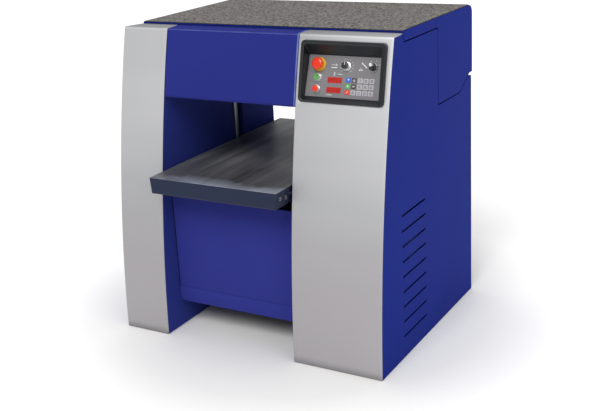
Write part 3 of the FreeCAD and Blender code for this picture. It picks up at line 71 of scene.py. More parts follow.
# centre of the large arc of the front
ARC_Y = FRONT_RADIUS * math.cos(FRONT_LEAN)
ARC_Z = -FRONT_RADIUS * math.sin(FRONT_LEAN)
BEND_RADIUS = 8.0
STRIP_SLOPE = math.radians(1.5)
STRIP_BACK = (220.0, 1126.0)
COVER_FOOT = 2.0
HEAD_LOW = 888.0
TABLE_TOP = 626.6
TABLE_FRONT = -36.0
PLATE_FOOT = (131.0, 921.0)
PLATE_TILT = math.radians(20.8)
PLATE_WIDTH = (216.0, 506.0)
PLATE_HEIGHT = 140.4
SELECTOR_REST = math.radians(28.0)

# opening of the right cover for the controls; its edge is hidden by the rim of the bezel
WINDOW_X = (210.5, 511.5)
WINDOW_Z = (912.0, 1098.0)

# places on the control plate: across, and up from its foot
STOP_HEAD_AT = (259.0, 108.5)
START_AT = (259.0, 65.0)
STOP_AT = (259.0, 26.3)
KNOB_AT = (359.0, 107.0)
SELECTOR_AT = (455.0, 107.0)
DISPLAY_ACROSS = 321.5
DISPLAY_HEIGHTS = (58.3, 25.6)
DISPLAY_HALF = (26.25, 9.25)
FIRST_KEY_AT = (371.5, 21.0)
KEY_PITCH = (21.0, 20.3)
KEY_HALF = (8.75, 7.75)


# ---------------------------------------------------------------- settings
def colour(name, description, default):
    """A colour as linear red, green and blue."""
    return FloatVectorProperty(
        name=name, description=description, default=default, size=3, min=0.0, max=1.0, subtype="COLOR"
    )


def length(name, description, default):
    """A length in metres."""
    return FloatProperty(name=name, description=description, default=default, min=0.0, unit="LENGTH")


def turning(name, description, degrees):
    """An angle, given here in degrees."""
    return FloatProperty(name=name, description=description, default=math.radians(degrees), unit="ROTATION")


def amount(name, description, default, least=0.0):
    """A plain number with a lower limit."""
    return FloatProperty(name=name, description=description, default=default, min=least)


class PlanerPaint(bpy.types.PropertyGroup):
    """Colours of the large painted and moulded surfaces."""

    silver: colour("Column silver", "Powder coat of the two front covers", (0.515, 0.52, 0.535))
    blue: colour("Body blue", "Powder coat of head, hood, sides and lower panel", (0.0215, 0.0275, 0.188))
    table_side: colour("Table edge", "Paint on the front and ends of the table", (0.0135, 0.0196, 0.045))
    # the ground top is a little blue: a painted reflection of the blue walls
    table_top: colour("Table top", "Ground cast iron of the table", (0.180, 0.182, 0.190))
    mat: colour("Mat", "Mean colour of the speckled mat", (0.135, 0.1265, 0.122))
    bezel: colour("Bezel", "Moulded frame of the controls", (0.0065, 0.009, 0.012))
    plate: colour("Control plate", "Foil on the control plate", (0.195, 0.190, 0.200))
    mushroom: colour("Emergency stop", "Mushroom head of the emergency stop", (0.72, 0.035, 0.012))


class PlanerFolds(bpy.types.PropertyGroup):
    """Fold radii and sheet thicknesses."""

    cover_fold: length("Cover fold", "Radius along the long edges of the front covers", 0.003)
    head_fold: length("Head fold", "Radius along both ends of the head panel", 0.0065)
    sheet: length("Sheet", "Thickness of covers and panels", 0.0025)
    ease: length("Eased edge", "Bevel on the edges of folded sheets and castings", 0.0012)


class PlanerControls(bpy.types.PropertyGroup):
    """Sizes on the control plate."""

    mushroom_radius: length("Mushroom radius", "Emergency stop head", 0.0210)
    mushroom_lobes: IntProperty(
        name="Grip lobes", description="Lobes round the emergency stop", default=18, min=6, max=36
    )
    scale_radius: length("Scale radius", "Inner end of the ticks round the speed knob", 0.0212)
    key_rise: length("Key rise", "Height of the keypad domes", 0.0012)


class PlanerStage(bpy.types.PropertyGroup):
    """Camera and lights."""

    camera_at: FloatVectorProperty(
        name="Camera", description="Place of the camera", default=(1.8575, -3.1657, 1.6562),
        size=3, subtype="XYZ", unit="LENGTH",
    )
    heading: turning("Heading", "Turn to the left of +Y", 30.343)
    pitch: turning("Pitch", "Downward tilt", 16.987)
    roll: turning("Roll", "Turn about the line of sight", -2.9966)
    lens: amount("Lens", "Focal length in mm on a 36 mm sensor", 60.965, 1.0)
    shift: amount("Shift", "Vertical shift of the picture", -0.05138, -1.0)
    key_strength: amount("Key light", "Soft light from the front", 1.9)
    fill_strength: amount("Fill light", "Very soft light from the right", 0.6)
    top_strength: amount("Top light", "Soft light from overhead", 1.15)
    sky: amount("Sky", "Strength of the white surroundings", 0.36)


# ---------------------------------------------------------------- node materials
class Finish:
    """Adds nodes to one material and wires them up."""

    def __init__(self, name):
        self.material = bpy.data.materials.new(name)
        self.material.use_nodes = True
        self.tree = self.material.node_tree
        self.shader = self.tree.nodes["Principled BSDF"]
        self.object_place = self.add("ShaderNodeTexCoord").outputs["Object"]

    def add(self, kind, settings=(), **inputs):
        """New node with its settings and inputs; an underscore in an input's name stands for a space."""
        made = self.tree.nodes.new(kind)
        for key, value in dict(settings).items():
            setattr(made, key, value)
        for key, value in inputs.items():
            self.feed(made.inputs[key.replace("_", " ")], value)
        return made

    def feed(self, socket, value):
        """Links an output to the socket, or sets the socket to a plain value."""
        if isinstance(value, bpy.types.NodeSocket):
            self.tree.links.new(value, socket)
        elif isinstance(value, tuple) and len(value) == 3 and len(socket.default_value) == 4:
            socket.default_value = (*value, 1.0)
        else:
            socket.default_value = value

    def stretched(self, scale):
        """Object coordinates stretched by a factor along each axis."""
        return self.add("ShaderNodeMapping", Vector=self.object_place, Scale=scale).outputs["Vector"]

    def noise(self, scale, detail=2.0, place=None, roughness=0.5):
        """Cloudy pattern round 0.5, of so many cycles in a metre."""
        place = place or self.object_place
        made = self.add("ShaderNodeTexNoise", Vector=place, Scale=scale, Detail=detail, Roughness=roughness)
        return made.outputs["Fac"]

    def cells(self, scale):
        """Distance to the nearest of scattered points."""
        return self.add("ShaderNodeTexVoronoi", Vector=self.object_place, Scale=scale).outputs["Distance"]

    def spread(self, value, low, high, start=0.0, end=1.0):
        """Carries a value from start..end to low..high, clamped."""
        made = self.add("ShaderNodeMapRange")
        for index, entry in enumerate((value, start, end, low, high)):
            self.feed(made.inputs[index], entry)
        return made.outputs["Result"]

    def clouded(self, pattern, low, high):
        """Carries the middle range of a cloudy pattern to low..high."""
        return self.spread(pattern, low, high, 0.3, 0.7)

    def band(self, place, edges, peak=1.0):
        """Rises to the peak between the first two edges and falls to zero between the last two."""
        rise = self.spread(place, 0.0, peak, edges[0], edges[1])
        return self.times(rise, self.spread(place, 1.0, 0.0, edges[2], edges[3]))

    def ramp(self, value, stops):
        """Smooth colour ramp through (position, colour) stops."""
        made = self.add("ShaderNodeValToRGB", Fac=value)
        made.color_ramp.interpolation = "EASE"
        entries = made.color_ramp.elements
        while len(entries) < len(stops):
            entries.new(0.5)
        for entry, (position, tone) in zip(entries, stops):
            entry.position = position
            entry.color = (*tone, 1.0)
        return made.outputs["Color"]

    def maths(self, operation, first, second):
        """One sum, product or the like of two values."""
        made = self.add("ShaderNodeMath", {"operation": operation})
        self.feed(made.inputs[0], first)
        self.feed(made.inputs[1], second)
        return made.outputs["Value"]

    def times(self, first, second):
        """Product of two values."""
        return self.maths("MULTIPLY", first, second)

    def plus(self, first, second):
        """Sum of two values."""
        return self.maths("ADD", first, second)

    def mottled(self, pattern, base, dark, light):
        """The base colour, scaled from dark to light by a cloudy pattern."""
        return self.blend(self.clouded(pattern, 0.0, 1.0), scaled(base, dark), scaled(base, light))

    def blend(self, amount, first, second, mode="MIX"):
        """Mix of two colours, or their product by the amount when the mode is MULTIPLY."""
        made = self.add("ShaderNodeMix", {"data_type": "RGBA", "blend_type": mode})
        self.feed(made.inputs[0], amount)
        self.feed(made.inputs[6], first)
        self.feed(made.inputs[7], second)
        return made.outputs[2]

    def grey(self, value):
        """Grey colour from a value."""
        return self.add("ShaderNodeCombineColor", Red=value, Green=value, Blue=value).outputs["Color"]

    def axis(self, name):
        """One object coordinate, in metres."""
        return self.add("ShaderNodeSeparateXYZ", Vector=self.object_place).outputs[name]

    def bump(self, height, strength, distance):
        """Fine relief from a height pattern; distance is its depth in metres."""
        made = self.add("ShaderNodeBump", Height=height, Strength=strength, Distance=distance)
        self.feed(self.shader.inputs["Normal"], made.outputs["Normal"])

    def set(self, **values):
        """Sets or links sockets of the shader."""
        for key, value in values.items():
            self.feed(self.shader.inputs[key.replace("_", " ")], value)
        return self.material


def scaled(rgb, factor):
    """The colour times a factor, at most 1 in each channel."""
    return tuple(min(1.0, channel * factor) for channel in rgb)


FINISHES = {}


def finish(name):
    """The named material, made the first time it is asked for."""
    if name not in FINISHES:
        FINISHES[name] = FINISH_MAKERS[name](name)
    return FINISHES[name]


# painted shade: height in metres and the tone of the metallic coat there, darker and warmer towards the
# floor
SILVER_SHADE_BY_HEIGHT = (
    (0.0, (0.73, 0.695, 0.71)),
    (0.27, (0.70, 0.665, 0.68)),
    (0.42, (0.715, 0.695, 0.71)),
    (0.56, (0.79, 0.79, 0.80)),
    (0.70, (0.905, 0.905, 0.91)),
    (0.84, (0.975, 0.975, 0.98)),
    (0.94, (1.0, 1.0, 1.0)),
    (1.0, (0.98, 0.98, 0.98)),
)
# in metres, where a painted highlight runs along a fold: it rises between the first two values and
# falls between the last two
COVER_FOLD_HIGHLIGHT = (1.1165, 1.1185, 1.1205, 1.1225)
HEAD_TOP_HIGHLIGHT = (1.1180, 1.1195, 1.1215, 1.1230)
HEAD_END_HIGHLIGHT = (0.1885, 0.1900, 0.1925, 0.1940)
# heights between which the curved front turns into the strip on top
STRIP_EDGE = (1.1215, 1.1240)
# heights between which the near-black underside of the table ends and the paint begins
TABLE_UNDERSIDE = (0.5705, 0.5715)


def silver_powder(name):
    """Metallic powder coat: fine flakes, slight clouds and a soft orange peel; painted shade makes it darker
    and warmer towards the floor.
    """
    base = tuple(bpy.context.scene.planer_paint.silver)
    f = Finish(name)
    flakes = f.cells(2300.0)
    clouds = f.noise(2.2, 3.0)
    tone = f.blend(f.spread(flakes, 0.0, 1.0, 0.05, 0.6), scaled(base, 1.10), scaled(base, 0.86))
    shade = f.mottled(clouds, base, 0.97, 1.03)
    peel = f.noise(420.0, 2.0)
    f.bump(f.plus(peel, f.times(flakes, 0.35)), 0.09, 0.0004)
    x, z = f.axis("X"), f.axis("Z")
    strip = f.spread(z, 0.0, 1.0, *STRIP_EDGE)
    # painted highlight along the fold at the top of the curved front
    fold = f.band(z, COVER_FOLD_HIGHLIGHT, 0.12)
    # painted highlight: the right cover is lighter towards its outer edge, most of all near the top
    tilt = f.times(f.spread(x, -1.0, 1.0, 0.20, 0.53), f.spread(x, 0.0, 1.0, 0.18, 0.19))
    catch = f.plus(f.spread(z, 0.0, 0.075, 0.45, 0.75), f.spread(z, 0.0, 0.145, 0.85, 1.10))
    # the painted highlight is halved on the strip on top
    catch = f.times(catch, f.spread(strip, 1.0, 0.5))
    # painted light: the covers grow slightly lighter from left to right
    painted_light_factor = f.plus(f.spread(x, 0.97, 1.03, -0.5, 0.5), f.times(tilt, catch))
    # painted shade darkens the strip on top; the painted fold highlight is added here too
    painted_light_factor = f.plus(painted_light_factor, f.maths("SUBTRACT", fold, f.times(strip, 0.38)))
    # painted shade by height, multiplied into the coat
    tone = f.blend(1.0, f.blend(0.5, tone, shade), f.ramp(z, SILVER_SHADE_BY_HEIGHT), "MULTIPLY")
    return f.set(
        Base_Color=f.blend(1.0, tone, f.grey(painted_light_factor), "MULTIPLY"),
        Metallic=0.25,
        Roughness=f.clouded(clouds, 0.40, 0.48),
        Specular_IOR_Level=0.3,
    )


def blue_powder(name, folds=False, painted_light_factors=(1.0, 1.0, 1.0)):
    """Smooth coloured powder coat with orange peel and faint dust; its folds may carry a painted highlight.

    The factors of the three channels make lit and shaded copies of the one blue for the different panels:
    painted light and shade.
    """
    base = tuple(a * b for a, b in zip(bpy.context.scene.planer_paint.blue, painted_light_factors))
    f = Finish(name)
    clouds = f.noise(1.7, 3.0)
    grain = f.noise(900.0, 2.0)
    dust = f.times(f.spread(grain, 0.0, 1.0, 0.55, 0.8), 0.03)
    f.bump(f.noise(300.0, 2.0), 0.07, 0.0005)
    tone = f.blend(dust, f.mottled(clouds, base, 0.94, 1.06), (0.12, 0.13, 0.30))
    if folds:
        # painted highlight along the end and top folds of the head panel, uneven along them
        end, top = f.band(f.axis("X"), HEAD_END_HIGHLIGHT), f.band(f.axis("Z"), HEAD_TOP_HIGHLIGHT, 0.32)
        head_fold_highlight = f.times(f.maths("MAXIMUM", end, top), f.spread(f.noise(14.0, 3.0), 0.55, 1.0, 0.35, 0.6))
        tone = f.blend(head_fold_highlight, tone, (0.16, 0.20, 0.44))
    return f.set(Base_Color=tone, Roughness=f.clouded(clouds, 0.34, 0.42), Specular_IOR_Level=0.006)


def painted(base, rough):
    """Maker of a plain machine enamel with clouds, grain and orange peel."""

    def make(name):
        f = Finish(name)
        clouds = f.noise(6.0, 4.0)
        grain = f.noise(700.0, 2.0)
        f.bump(f.noise(350.0, 2.0), 0.12, 0.0006)
        tone = f.mottled(clouds, base, 0.85, 1.12)
        return f.set(
            Base_Color=f.blend(f.spread(grain, 0.0, 0.18, 0.5, 0.8), tone, scaled(base, 1.5)),
            Roughness=f.clouded(clouds, rough - 0.05, rough + 0.07),
        )

    return make


def table_iron(name):
    """Ground top with streaks along the feed, painted shade behind the front edge and a painted highlight
    along it; enamel on the front and ends.
    """
    paint = bpy.context.scene.planer_paint
    top = tuple(paint.table_top)
    side = tuple(paint.table_side)
    f = Finish(name)
    broad = f.noise(1.0, 3.0, f.stretched((17.0, 1.3, 1.0)), 0.6)
    fine = f.noise(1.0, 2.0, f.stretched((420.0, 5.0, 1.0)), 0.6)
    scratches = f.noise(1.0, 1.0, f.stretched((130.0, 1.6, 1.0)))
    streak = f.blend(f.spread(broad, 0.0, 1.0, 0.34, 0.66), scaled(top, 0.55), scaled(top, 1.75))
    streak = f.blend(f.spread(fine, 0.0, 0.5, 0.4, 0.75), streak, scaled(top, 2.1))
    streak = f.blend(f.spread(scratches, 0.0, 0.35, 0.6, 0.72), streak, (0.36, 0.36, 0.37))
    # painted shade darkens the top behind the front edge, and a painted highlight lies along the edge in
    # patches
    y, z = f.axis("Y"), f.axis("Z")
    front = (TABLE_FRONT - FRONT_TO_MIDDLE) * MM
    shade = f.spread(y, 0.46, 1.0, front + 0.05, front + 0.32)
    streak = f.blend(1.0, streak, f.grey(shade), "MULTIPLY")
    patches = f.noise(6.0, 3.0)
    bright_edge_highlight = f.spread(y, 1.0, 0.0, front, f.spread(patches, front + 0.015, front + 0.085, 0.38, 0.62))
    bright_edge_highlight = f.times(bright_edge_highlight, f.spread(patches, 0.3, 0.95, 0.38, 0.6))
    streak = f.blend(bright_edge_highlight, streak, (0.44, 0.47, 0.56))
    on_top = f.spread(z, 0.0, 1.0, (TABLE_TOP - 1.1) * MM, (TABLE_TOP - 0.4) * MM)
    enamel = f.blend(f.spread(f.noise(500.0), 0.0, 0.35, 0.35, 0.75), side, scaled(side, 1.5))
    enamel = f.blend(f.spread(z, 0.0, 1.0, *TABLE_UNDERSIDE), (0.04, 0.04, 0.045), enamel)
    f.bump(f.plus(f.times(fine, on_top), f.times(f.noise(260.0), 0.4)), 0.12, 0.0004)
    rough_top = f.spread(broad, 0.30, 0.46, 0.34, 0.66)
    return f.set(
        Base_Color=f.blend(on_top, enamel, streak),
        Metallic=f.times(on_top, 0.55),
        Roughness=f.blend(on_top, (0.42, 0.42, 0.42), rough_top),
        Specular_IOR_Level=0.15,
    )


def guide_steel(name):
    """Drawn bar with a painted highlight along its front edge; dark steel behind it, darkened as painted
    shade.
    """
    f = Finish(name)
    marks = f.noise(1.0, 3.0, f.stretched((500.0, 500.0, 6.0)), 0.6)
    front = (GUIDE_FRONT - FRONT_TO_MIDDLE) * MM
    # painted shade: the bar turns dark behind its front edge
    dull = f.spread(f.axis("Y"), 0.0, 1.0, front + 0.006, front + 0.010)
    share = f.clouded(marks, 0.0, 1.0)
    # painted highlight, blue-grey as a painted reflection of the wall
    bright_edge_highlight = f.blend(share, (0.16, 0.21, 0.30), (0.26, 0.32, 0.42))
    # dark steel, standing also for painted shade
    scale = f.blend(share, (0.030, 0.034, 0.038), (0.055, 0.060, 0.066))
    f.bump(marks, 0.06, 0.0003)
    return f.set(
        Base_Color=f.blend(dull, bright_edge_highlight, scale),
        Metallic=f.spread(dull, 0.7, 0.2),
        Roughness=f.clouded(marks, 0.34, 0.48),
    )


def speckled_mat(name):
    """Granular non-slip sheet in warm greys."""
    base = tuple(bpy.context.scene.planer_paint.mat)
    f = Finish(name)
    coarse = f.noise(330.0, 3.0, None, 0.8)
    grains = f.cells(420.0)
    flecks = f.noise(115.0, 3.0, None, 0.7)
    tone = f.blend(f.spread(coarse, 0.0, 1.0, 0.42, 0.58), scaled(base, 0.10), scaled(base, 1.95))
    tone = f.blend(f.spread(flecks, 0.0, 0.8, 0.50, 0.58), tone, scaled(base, 0.40))
    tone = f.blend(f.spread(flecks, 0.8, 0.0, 0.42, 0.50), tone, scaled(base, 1.80))
    f.bump(f.maths("SUBTRACT", coarse, grains), 0.55, 0.0012)
    return f.set(Base_Color=tone, Roughness=f.clouded(coarse, 0.82, 0.98), Specular_IOR_Level=0.25)


def moulded(base, rough, grain=0.18):
    """Maker of a moulded plastic with eroded grain."""

    def make(name):
        f = Finish(name)
        grains = f.noise(1500.0, 3.0)
        clouds = f.noise(20.0, 2.0)
        f.bump(grains, grain, 0.0003)
        rough_grain = f.clouded(grains, rough - 0.05, rough + 0.06)
        return f.set(Base_Color=f.mottled(clouds, base, 0.92, 1.08), Roughness=rough_grain)

    return make


def bezel_plastic(name):
    """Near-black moulding with a fine grain."""
    base = tuple(bpy.context.scene.planer_paint.bezel)
    return moulded(base, 0.38, 0.10)(name)


def plate_foil(name):
    """Satin printed foil with a fine tooth."""
    base = tuple(bpy.context.scene.planer_paint.plate)
    f = Finish(name)
    tooth = f.noise(1800.0, 2.0)
    f.bump(tooth, 0.08, 0.0002)
    tone = f.mottled(tooth, base, 0.94, 1.06)
    return f.set(Base_Color=tone, Metallic=0.15, Roughness=f.clouded(f.noise(30.0), 0.40, 0.50))


def mushroom_red(name):
    """Glossy red moulding."""
    base = tuple(bpy.context.scene.planer_paint.mushroom)
    return moulded(base, 0.18, 0.03)(name)


def steel(base, rough, along, relief=0.5):
    """Maker of a turned, ground or drawn metal; along is the stretch of its marks."""

    def make(name):
        f = Finish(name)
        marks = f.noise(1.0, 3.0, f.stretched(along), 0.6)
        stains = f.noise(14.0, 3.0)
        tone = f.mottled(marks, base, 0.78, 1.15)
        tone = f.blend(f.spread(stains, 0.0, 0.3, 0.52, 0.75), tone, scaled(base, 0.55))
        f.bump(marks, 0.12 * relief, 0.0003)
        return f.set(Base_Color=tone, Metallic=1.0, Roughness=f.clouded(marks, rough - 0.06, rough + 0.10))

    return make


def glowing_display(name):
    """Clear red filter over a lit display."""
    f = Finish(name)
    depth = f.noise(60.0, 2.0)
    tone = f.blend(f.clouded(depth, 0.0, 1.0), (0.42, 0.016, 0.012), (0.52, 0.026, 0.017))
    rough = f.clouded(depth, 0.14, 0.20)
    return f.set(Base_Color=tone, Roughness=rough, Emission_Color=(0.6, 0.03, 0.015), Emission_Strength=0.12)


def rubber(base, rough):
    """Maker of a dull rubber with fine grain and dust."""

    def make(name):
        f = Finish(name)
        grain = f.noise(800.0, 3.0)
        dust = f.noise(25.0, 4.0)
        tone = f.blend(f.spread(dust, 0.0, 0.4, 0.45, 0.75), base, scaled(base, 3.0))
        f.bump(grain, 0.25, 0.0004)
        return f.set(Base_Color=tone, Roughness=f.clouded(grain, rough - 0.06, rough + 0.06))

    return make


FINISH_MAKERS = {
    "silver_powder": silver_powder,
    "blue_powder": blue_powder,
    # the head panel, with painted highlights along its folds
    "head_blue": lambda name: blue_powder(name, folds=True),
    # lit and shaded copies of the one body blue, as painted light and shade: the outer side panels bluer,
    # the lower panel and the inner walls lighter
    "side_blue": lambda name: blue_powder(name, painted_light_factors=(0.60, 0.92, 1.18)),
    "foot_blue": lambda name: blue_powder(name, painted_light_factors=(1.33, 1.25, 1.15)),
    "wall_blue": lambda name: blue_powder(name, painted_light_factors=(1.25, 1.42, 1.20)),
    "frame_primer": painted((0.05, 0.055, 0.065), 0.55),
    "motor_enamel": painted((0.16, 0.18, 0.20), 0.42),
    "outlet_enamel": painted((0.09, 0.095, 0.105), 0.45),
    "table_iron": table_iron,
    "speckled_mat": speckled_mat,
    "mat_edge": rubber((0.009, 0.009, 0.009), 0.8),
    "bezel_plastic": bezel_plastic,
    "black_plastic": moulded((0.022, 0.022, 0.024), 0.40),
    "plate_foil": plate_foil,
    "plate_print": moulded((0.72, 0.72, 0.72), 0.5, 0.05),
    "mushroom_red": mushroom_red,
    "base_yellow": moulded((0.72, 0.40, 0.03), 0.35, 0.05),
    "cap_green": moulded((0.11, 0.30, 0.09), 0.30, 0.04),
    "cap_red": moulded((0.68, 0.04, 0.02), 0.28, 0.04),
    "cap_mark": moulded((0.03, 0.04, 0.03), 0.4, 0.04),
    "collar_chrome": steel((0.90, 0.90, 0.92), 0.28, (300.0, 300.0, 300.0), 0.15),
    # painted highlight: light grey that stands for the glint on the selector's tip
    "tip_grey": moulded((0.74, 0.74, 0.76), 0.28, 0.04),
    "display_red": glowing_display,
    "display_digit": moulded((0.16, 0.006, 0.006), 0.3, 0.03),
    "key_light": moulded((0.33, 0.32, 0.34), 0.42, 0.08),
    "key_rim": moulded((0.47, 0.46, 0.49), 0.42, 0.08),
    "key_blue": moulded((0.02, 0.12, 0.60), 0.40, 0.08),
    "key_green": moulded((0.09, 0.36, 0.09), 0.40, 0.08),
    "key_red": moulded((0.72, 0.045, 0.02), 0.38, 0.08),
    "key_dark": moulded((0.05, 0.05, 0.055), 0.42, 0.08),
    "key_digit": moulded((0.05, 0.06, 0.20), 0.45, 0.05),
    "ground_steel": steel((0.46, 0.47, 0.49), 0.30, (40.0, 40.0, 400.0), 0.08),
    "guide_steel": guide_steel,
    "turned_steel": steel((0.46, 0.46, 0.48), 0.30, (400.0, 30.0, 30.0), 0.08),
    "knife_steel": steel((0.72, 0.73, 0.75), 0.16, (20.0, 900.0, 900.0), 0.3),
    "screw_zinc": steel((0.68, 0.68, 0.70), 0.28, (500.0, 500.0, 500.0), 0.2),
    "bolt_dark": steel((0.27, 0.28, 0.30), 0.30, (500.0, 500.0, 500.0), 0.2),
    "chain_steel": steel((0.23, 0.22, 0.21), 0.36, (160.0, 160.0, 160.0), 1.0),
    "turned_bronze": steel((0.62, 0.42, 0.20), 0.30, (60.0, 60.0, 900.0)),
    "belt_rubber": rubber((0.014, 0.014, 0.014), 0.75),
    "roller_rubber": rubber((0.04, 0.04, 0.045), 0.6),
}


# ---------------------------------------------------------------- mesh building
# points closer than this, in metres, are one, in a new piece and in a copied node
SAME_POINT = 1e-7
SAME_CORNER = 1e-6
# edges bent by more than this stay sharp
SHARP = 35.0


def place(points):
    """Moves working points in millimetres to the frame of the part, in metres."""
    return (np.asarray(points, float) - (0.0, FRONT_TO_MIDDLE, 0.0)) * MM


def grid_part(points, around=False, keep=None, start_cap=False, end_cap=False, finish_index=0):
    """Quads between the rows and columns of points (rows, columns, 3).

    around joins the last column to the first. keep(centres) is a mask of the faces to keep. The
    caps close the first and the last row of a ring.
    """
    rows, columns = points.shape[:2]
    index = np.arange(rows * columns).reshape(rows, columns)
    if around:
        index = np.hstack([index, index[:, :1]])
    a, b, c, d = index[:-1, :-1], index[:-1, 1:], index[1:, 1:], index[1:, :-1]
    quads = np.stack([a, b, c, d], axis=-1).reshape(-1, 4)
    flat = points.reshape(-1, 3)
    if keep is not None:
        quads = quads[keep(flat[quads].mean(axis=1))]
    faces = quads.tolist()
    if start_cap:
        faces.append(np.arange(columns)[::-1].tolist())
    if end_cap:
        faces.append((np.arange(columns) + (rows - 1) * columns).tolist())
    return {"points": flat, "faces": faces, "finish": finish_index}


def make_piece(name, parts, finishes, body, replaced, closed=True, sharp=SHARP):
    """One object from several parts, placed in the frame, with its finishes, body and nodes.

    Its doubles are merged. A closed piece has its faces turned outwards; an open sheet is built
    with its faces outwards.
    """
    points, faces, marks, offset = [], [], [], 0
    for part in parts:
        points.append(place(part["points"]))
        faces.extend([[k + offset for k in face] for face in part["faces"]])
        marks.extend([part["finish"]] * len(part["faces"]))
        offset += len(part["points"])
    mesh = bpy.data.meshes.new(name)
    mesh.from_pydata(np.concatenate(points).tolist(), [], faces)
    mesh.polygons.foreach_set("material_index", marks)
    for entry in finishes:
        mesh.materials.append(finish(entry))
    bm = bmesh.new()
    bm.from_mesh(mesh)
    bmesh.ops.remove_doubles(bm, verts=bm.verts, dist=SAME_POINT)
    if closed:
        bmesh.ops.recalc_face_normals(bm, faces=bm.faces)
    bm.to_mesh(mesh)
    bm.free()
    return add_piece(name, mesh, body, replaced, sharp)


def link(name, data):
    """New object with this data, in the scene."""
    made = bpy.data.objects.new(name, data)
    bpy.context.scene.collection.objects.link(made)
    return made


def add_piece(name, mesh, body, replaced, sharp=SHARP):
    """Links a mesh as a piece that rides on a body and stands for CAD nodes."""
    mesh.polygons.foreach_set("use_smooth", [True] * len(mesh.polygons))
    mesh.set_sharp_from_angle(angle=math.radians(sharp))
    piece = link(name, mesh)
    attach(piece, body)
    if replaced:
        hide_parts(*replaced)
    return piece


def thicken(piece, thickness):
    """Gives an open sheet its thickness, inwards."""
    solid = piece.modifiers.new("Sheet", "SOLIDIFY")
    solid.thickness = thickness
    solid.offset = -1.0
    solid.use_even_offset = True


def eased_copy(node, name, finish_name, width):
    """Copy of a CAD node with its doubles merged, flat faces joined and edges bevelled."""
    mesh = frame["nodes"][node].data.copy()
    mesh.name = name
    bm = bmesh.new()
    bm.from_mesh(mesh)
    bmesh.ops.remove_doubles(bm, verts=bm.verts, dist=SAME_CORNER)
    bmesh.ops.dissolve_limit(bm, angle_limit=math.radians(0.4), verts=bm.verts, edges=bm.edges)
    bm.to_mesh(mesh)
    bm.free()
    mesh.materials.clear()
    mesh.materials.append(finish(finish_name))
    piece = add_piece(name, mesh, body_of(node), (node,))
    bevel = piece.modifiers.new("Eased edges", "BEVEL")
    bevel.width = width
    bevel.segments = 2
    bevel.limit_method = "ANGLE"
    bevel.angle_limit = math.radians(SHARP)
    bevel.harden_normals = True


def dress(node, finish_name):
    """Gives a CAD node its finish; its mesh stays as it is."""
    materials = frame["nodes"][node].data.materials
    materials.clear()
    materials.append(finish(finish_name))


def body_of(node):
    """Name of the body that a CAD node rides on."""
    for name, members in frame["record"]["behaviour"]["bodies"].items():
        if node in members:
            return name
    raise ValueError("no body holds " + node)


# ---------------------------------------------------------------- curves and sections
def front_line(low, arc_steps=36, levels=()):
    """Points (y, z) and outward normals of the curved front, from a height up.

    One large arc about a centre far behind, a tight arc inside it and tangent to it, and a
    straight strip that is tangent to that. The centre of the tight arc lies on the line that is
    parallel to the strip at the bend radius, where its distance to the large centre is the
    difference of the two radii. levels are heights that must fall on a row of the large arc.
    """
    bend_steps, strip_steps = 8, 4
    dy, dz = math.cos(STRIP_SLOPE), math.sin(STRIP_SLOPE)
    # from the large centre to the point of that line beside the back of the strip
    y, z = STRIP_BACK[0] + BEND_RADIUS * dz - ARC_Y, STRIP_BACK[1] - BEND_RADIUS * dy - ARC_Z
    along = y * dy + z * dz
    step = -along - math.sqrt(along**2 - y**2 - z**2 + (FRONT_RADIUS - BEND_RADIUS) ** 2)
    y, z = y + step * dy, z + step * dz
    top = math.atan2(z, y)
    arc_top = ARC_Z + FRONT_RADIUS * math.sin(top)
    heights = np.unique(np.append(np.linspace(low, arc_top, arc_steps), levels))
    arc_angle = math.pi - np.arcsin((heights - ARC_Z) / FRONT_RADIUS)
    arc_normal = np.stack([np.cos(arc_angle), np.sin(arc_angle)], axis=1)
    arc = np.array([ARC_Y, ARC_Z]) + FRONT_RADIUS * arc_normal
    bend_angle = np.linspace(top, math.pi / 2 + STRIP_SLOPE, bend_steps + 1)[1:]
    bend_normal = np.stack([np.cos(bend_angle), np.sin(bend_angle)], axis=1)
    bend = np.array([ARC_Y + y, ARC_Z + z]) + BEND_RADIUS * bend_normal
    strip = np.linspace(bend[-1], STRIP_BACK, strip_steps + 1)[1:]
    strip_normal = np.repeat(bend_normal[-1:], strip_steps, axis=0)
    return np.concatenate([arc, bend, strip]), np.concatenate([arc_normal, bend_normal, strip_normal])


def front_y(z):
    """Y of the large arc at a height."""
    return ARC_Y - np.sqrt(FRONT_RADIUS**2 - (z - ARC_Z) ** 2)


def rolled_section(x, radius, back, fold_steps=6, lines=()):
    """x and depth across a sheet whose two long edges are folded back round a quarter circle.

    Between the folds the depth is zero; past each fold the sheet runs straight back. lines are x
    values that must fall on a column.
    """
    angle = np.linspace(0.0, math.pi / 2, fold_steps + 1)
    inset = radius * (1 - np.sin(angle))
    depth = radius * (1 - np.cos(angle))
    middle = np.linspace(x[0] + radius, x[1] - radius, 14)[1:-1]
    middle = np.unique(np.append(middle, lines))
    across = np.concatenate([[x[0]], x[0] + inset[::-1], middle, x[1] - inset, [x[1]]])
    into = np.concatenate([[back], depth[::-1], np.zeros(len(middle)), depth, [back]])
    return across, into


def carried(line, normals, across, into):
    """Surface with one row per point of a (y, z) line and one column per point of a section.

    Each section point lies at its own x, and its depth behind the line along the line's normal.
    """
    shape = (len(line), len(across))
    points = np.empty(shape + (3,))
    points[..., 0] = np.broadcast_to(across, shape)
    points[..., 1] = line[:, :1] - normals[:, :1] * into
    points[..., 2] = line[:, 1:] - normals[:, 1:] * into
    return points


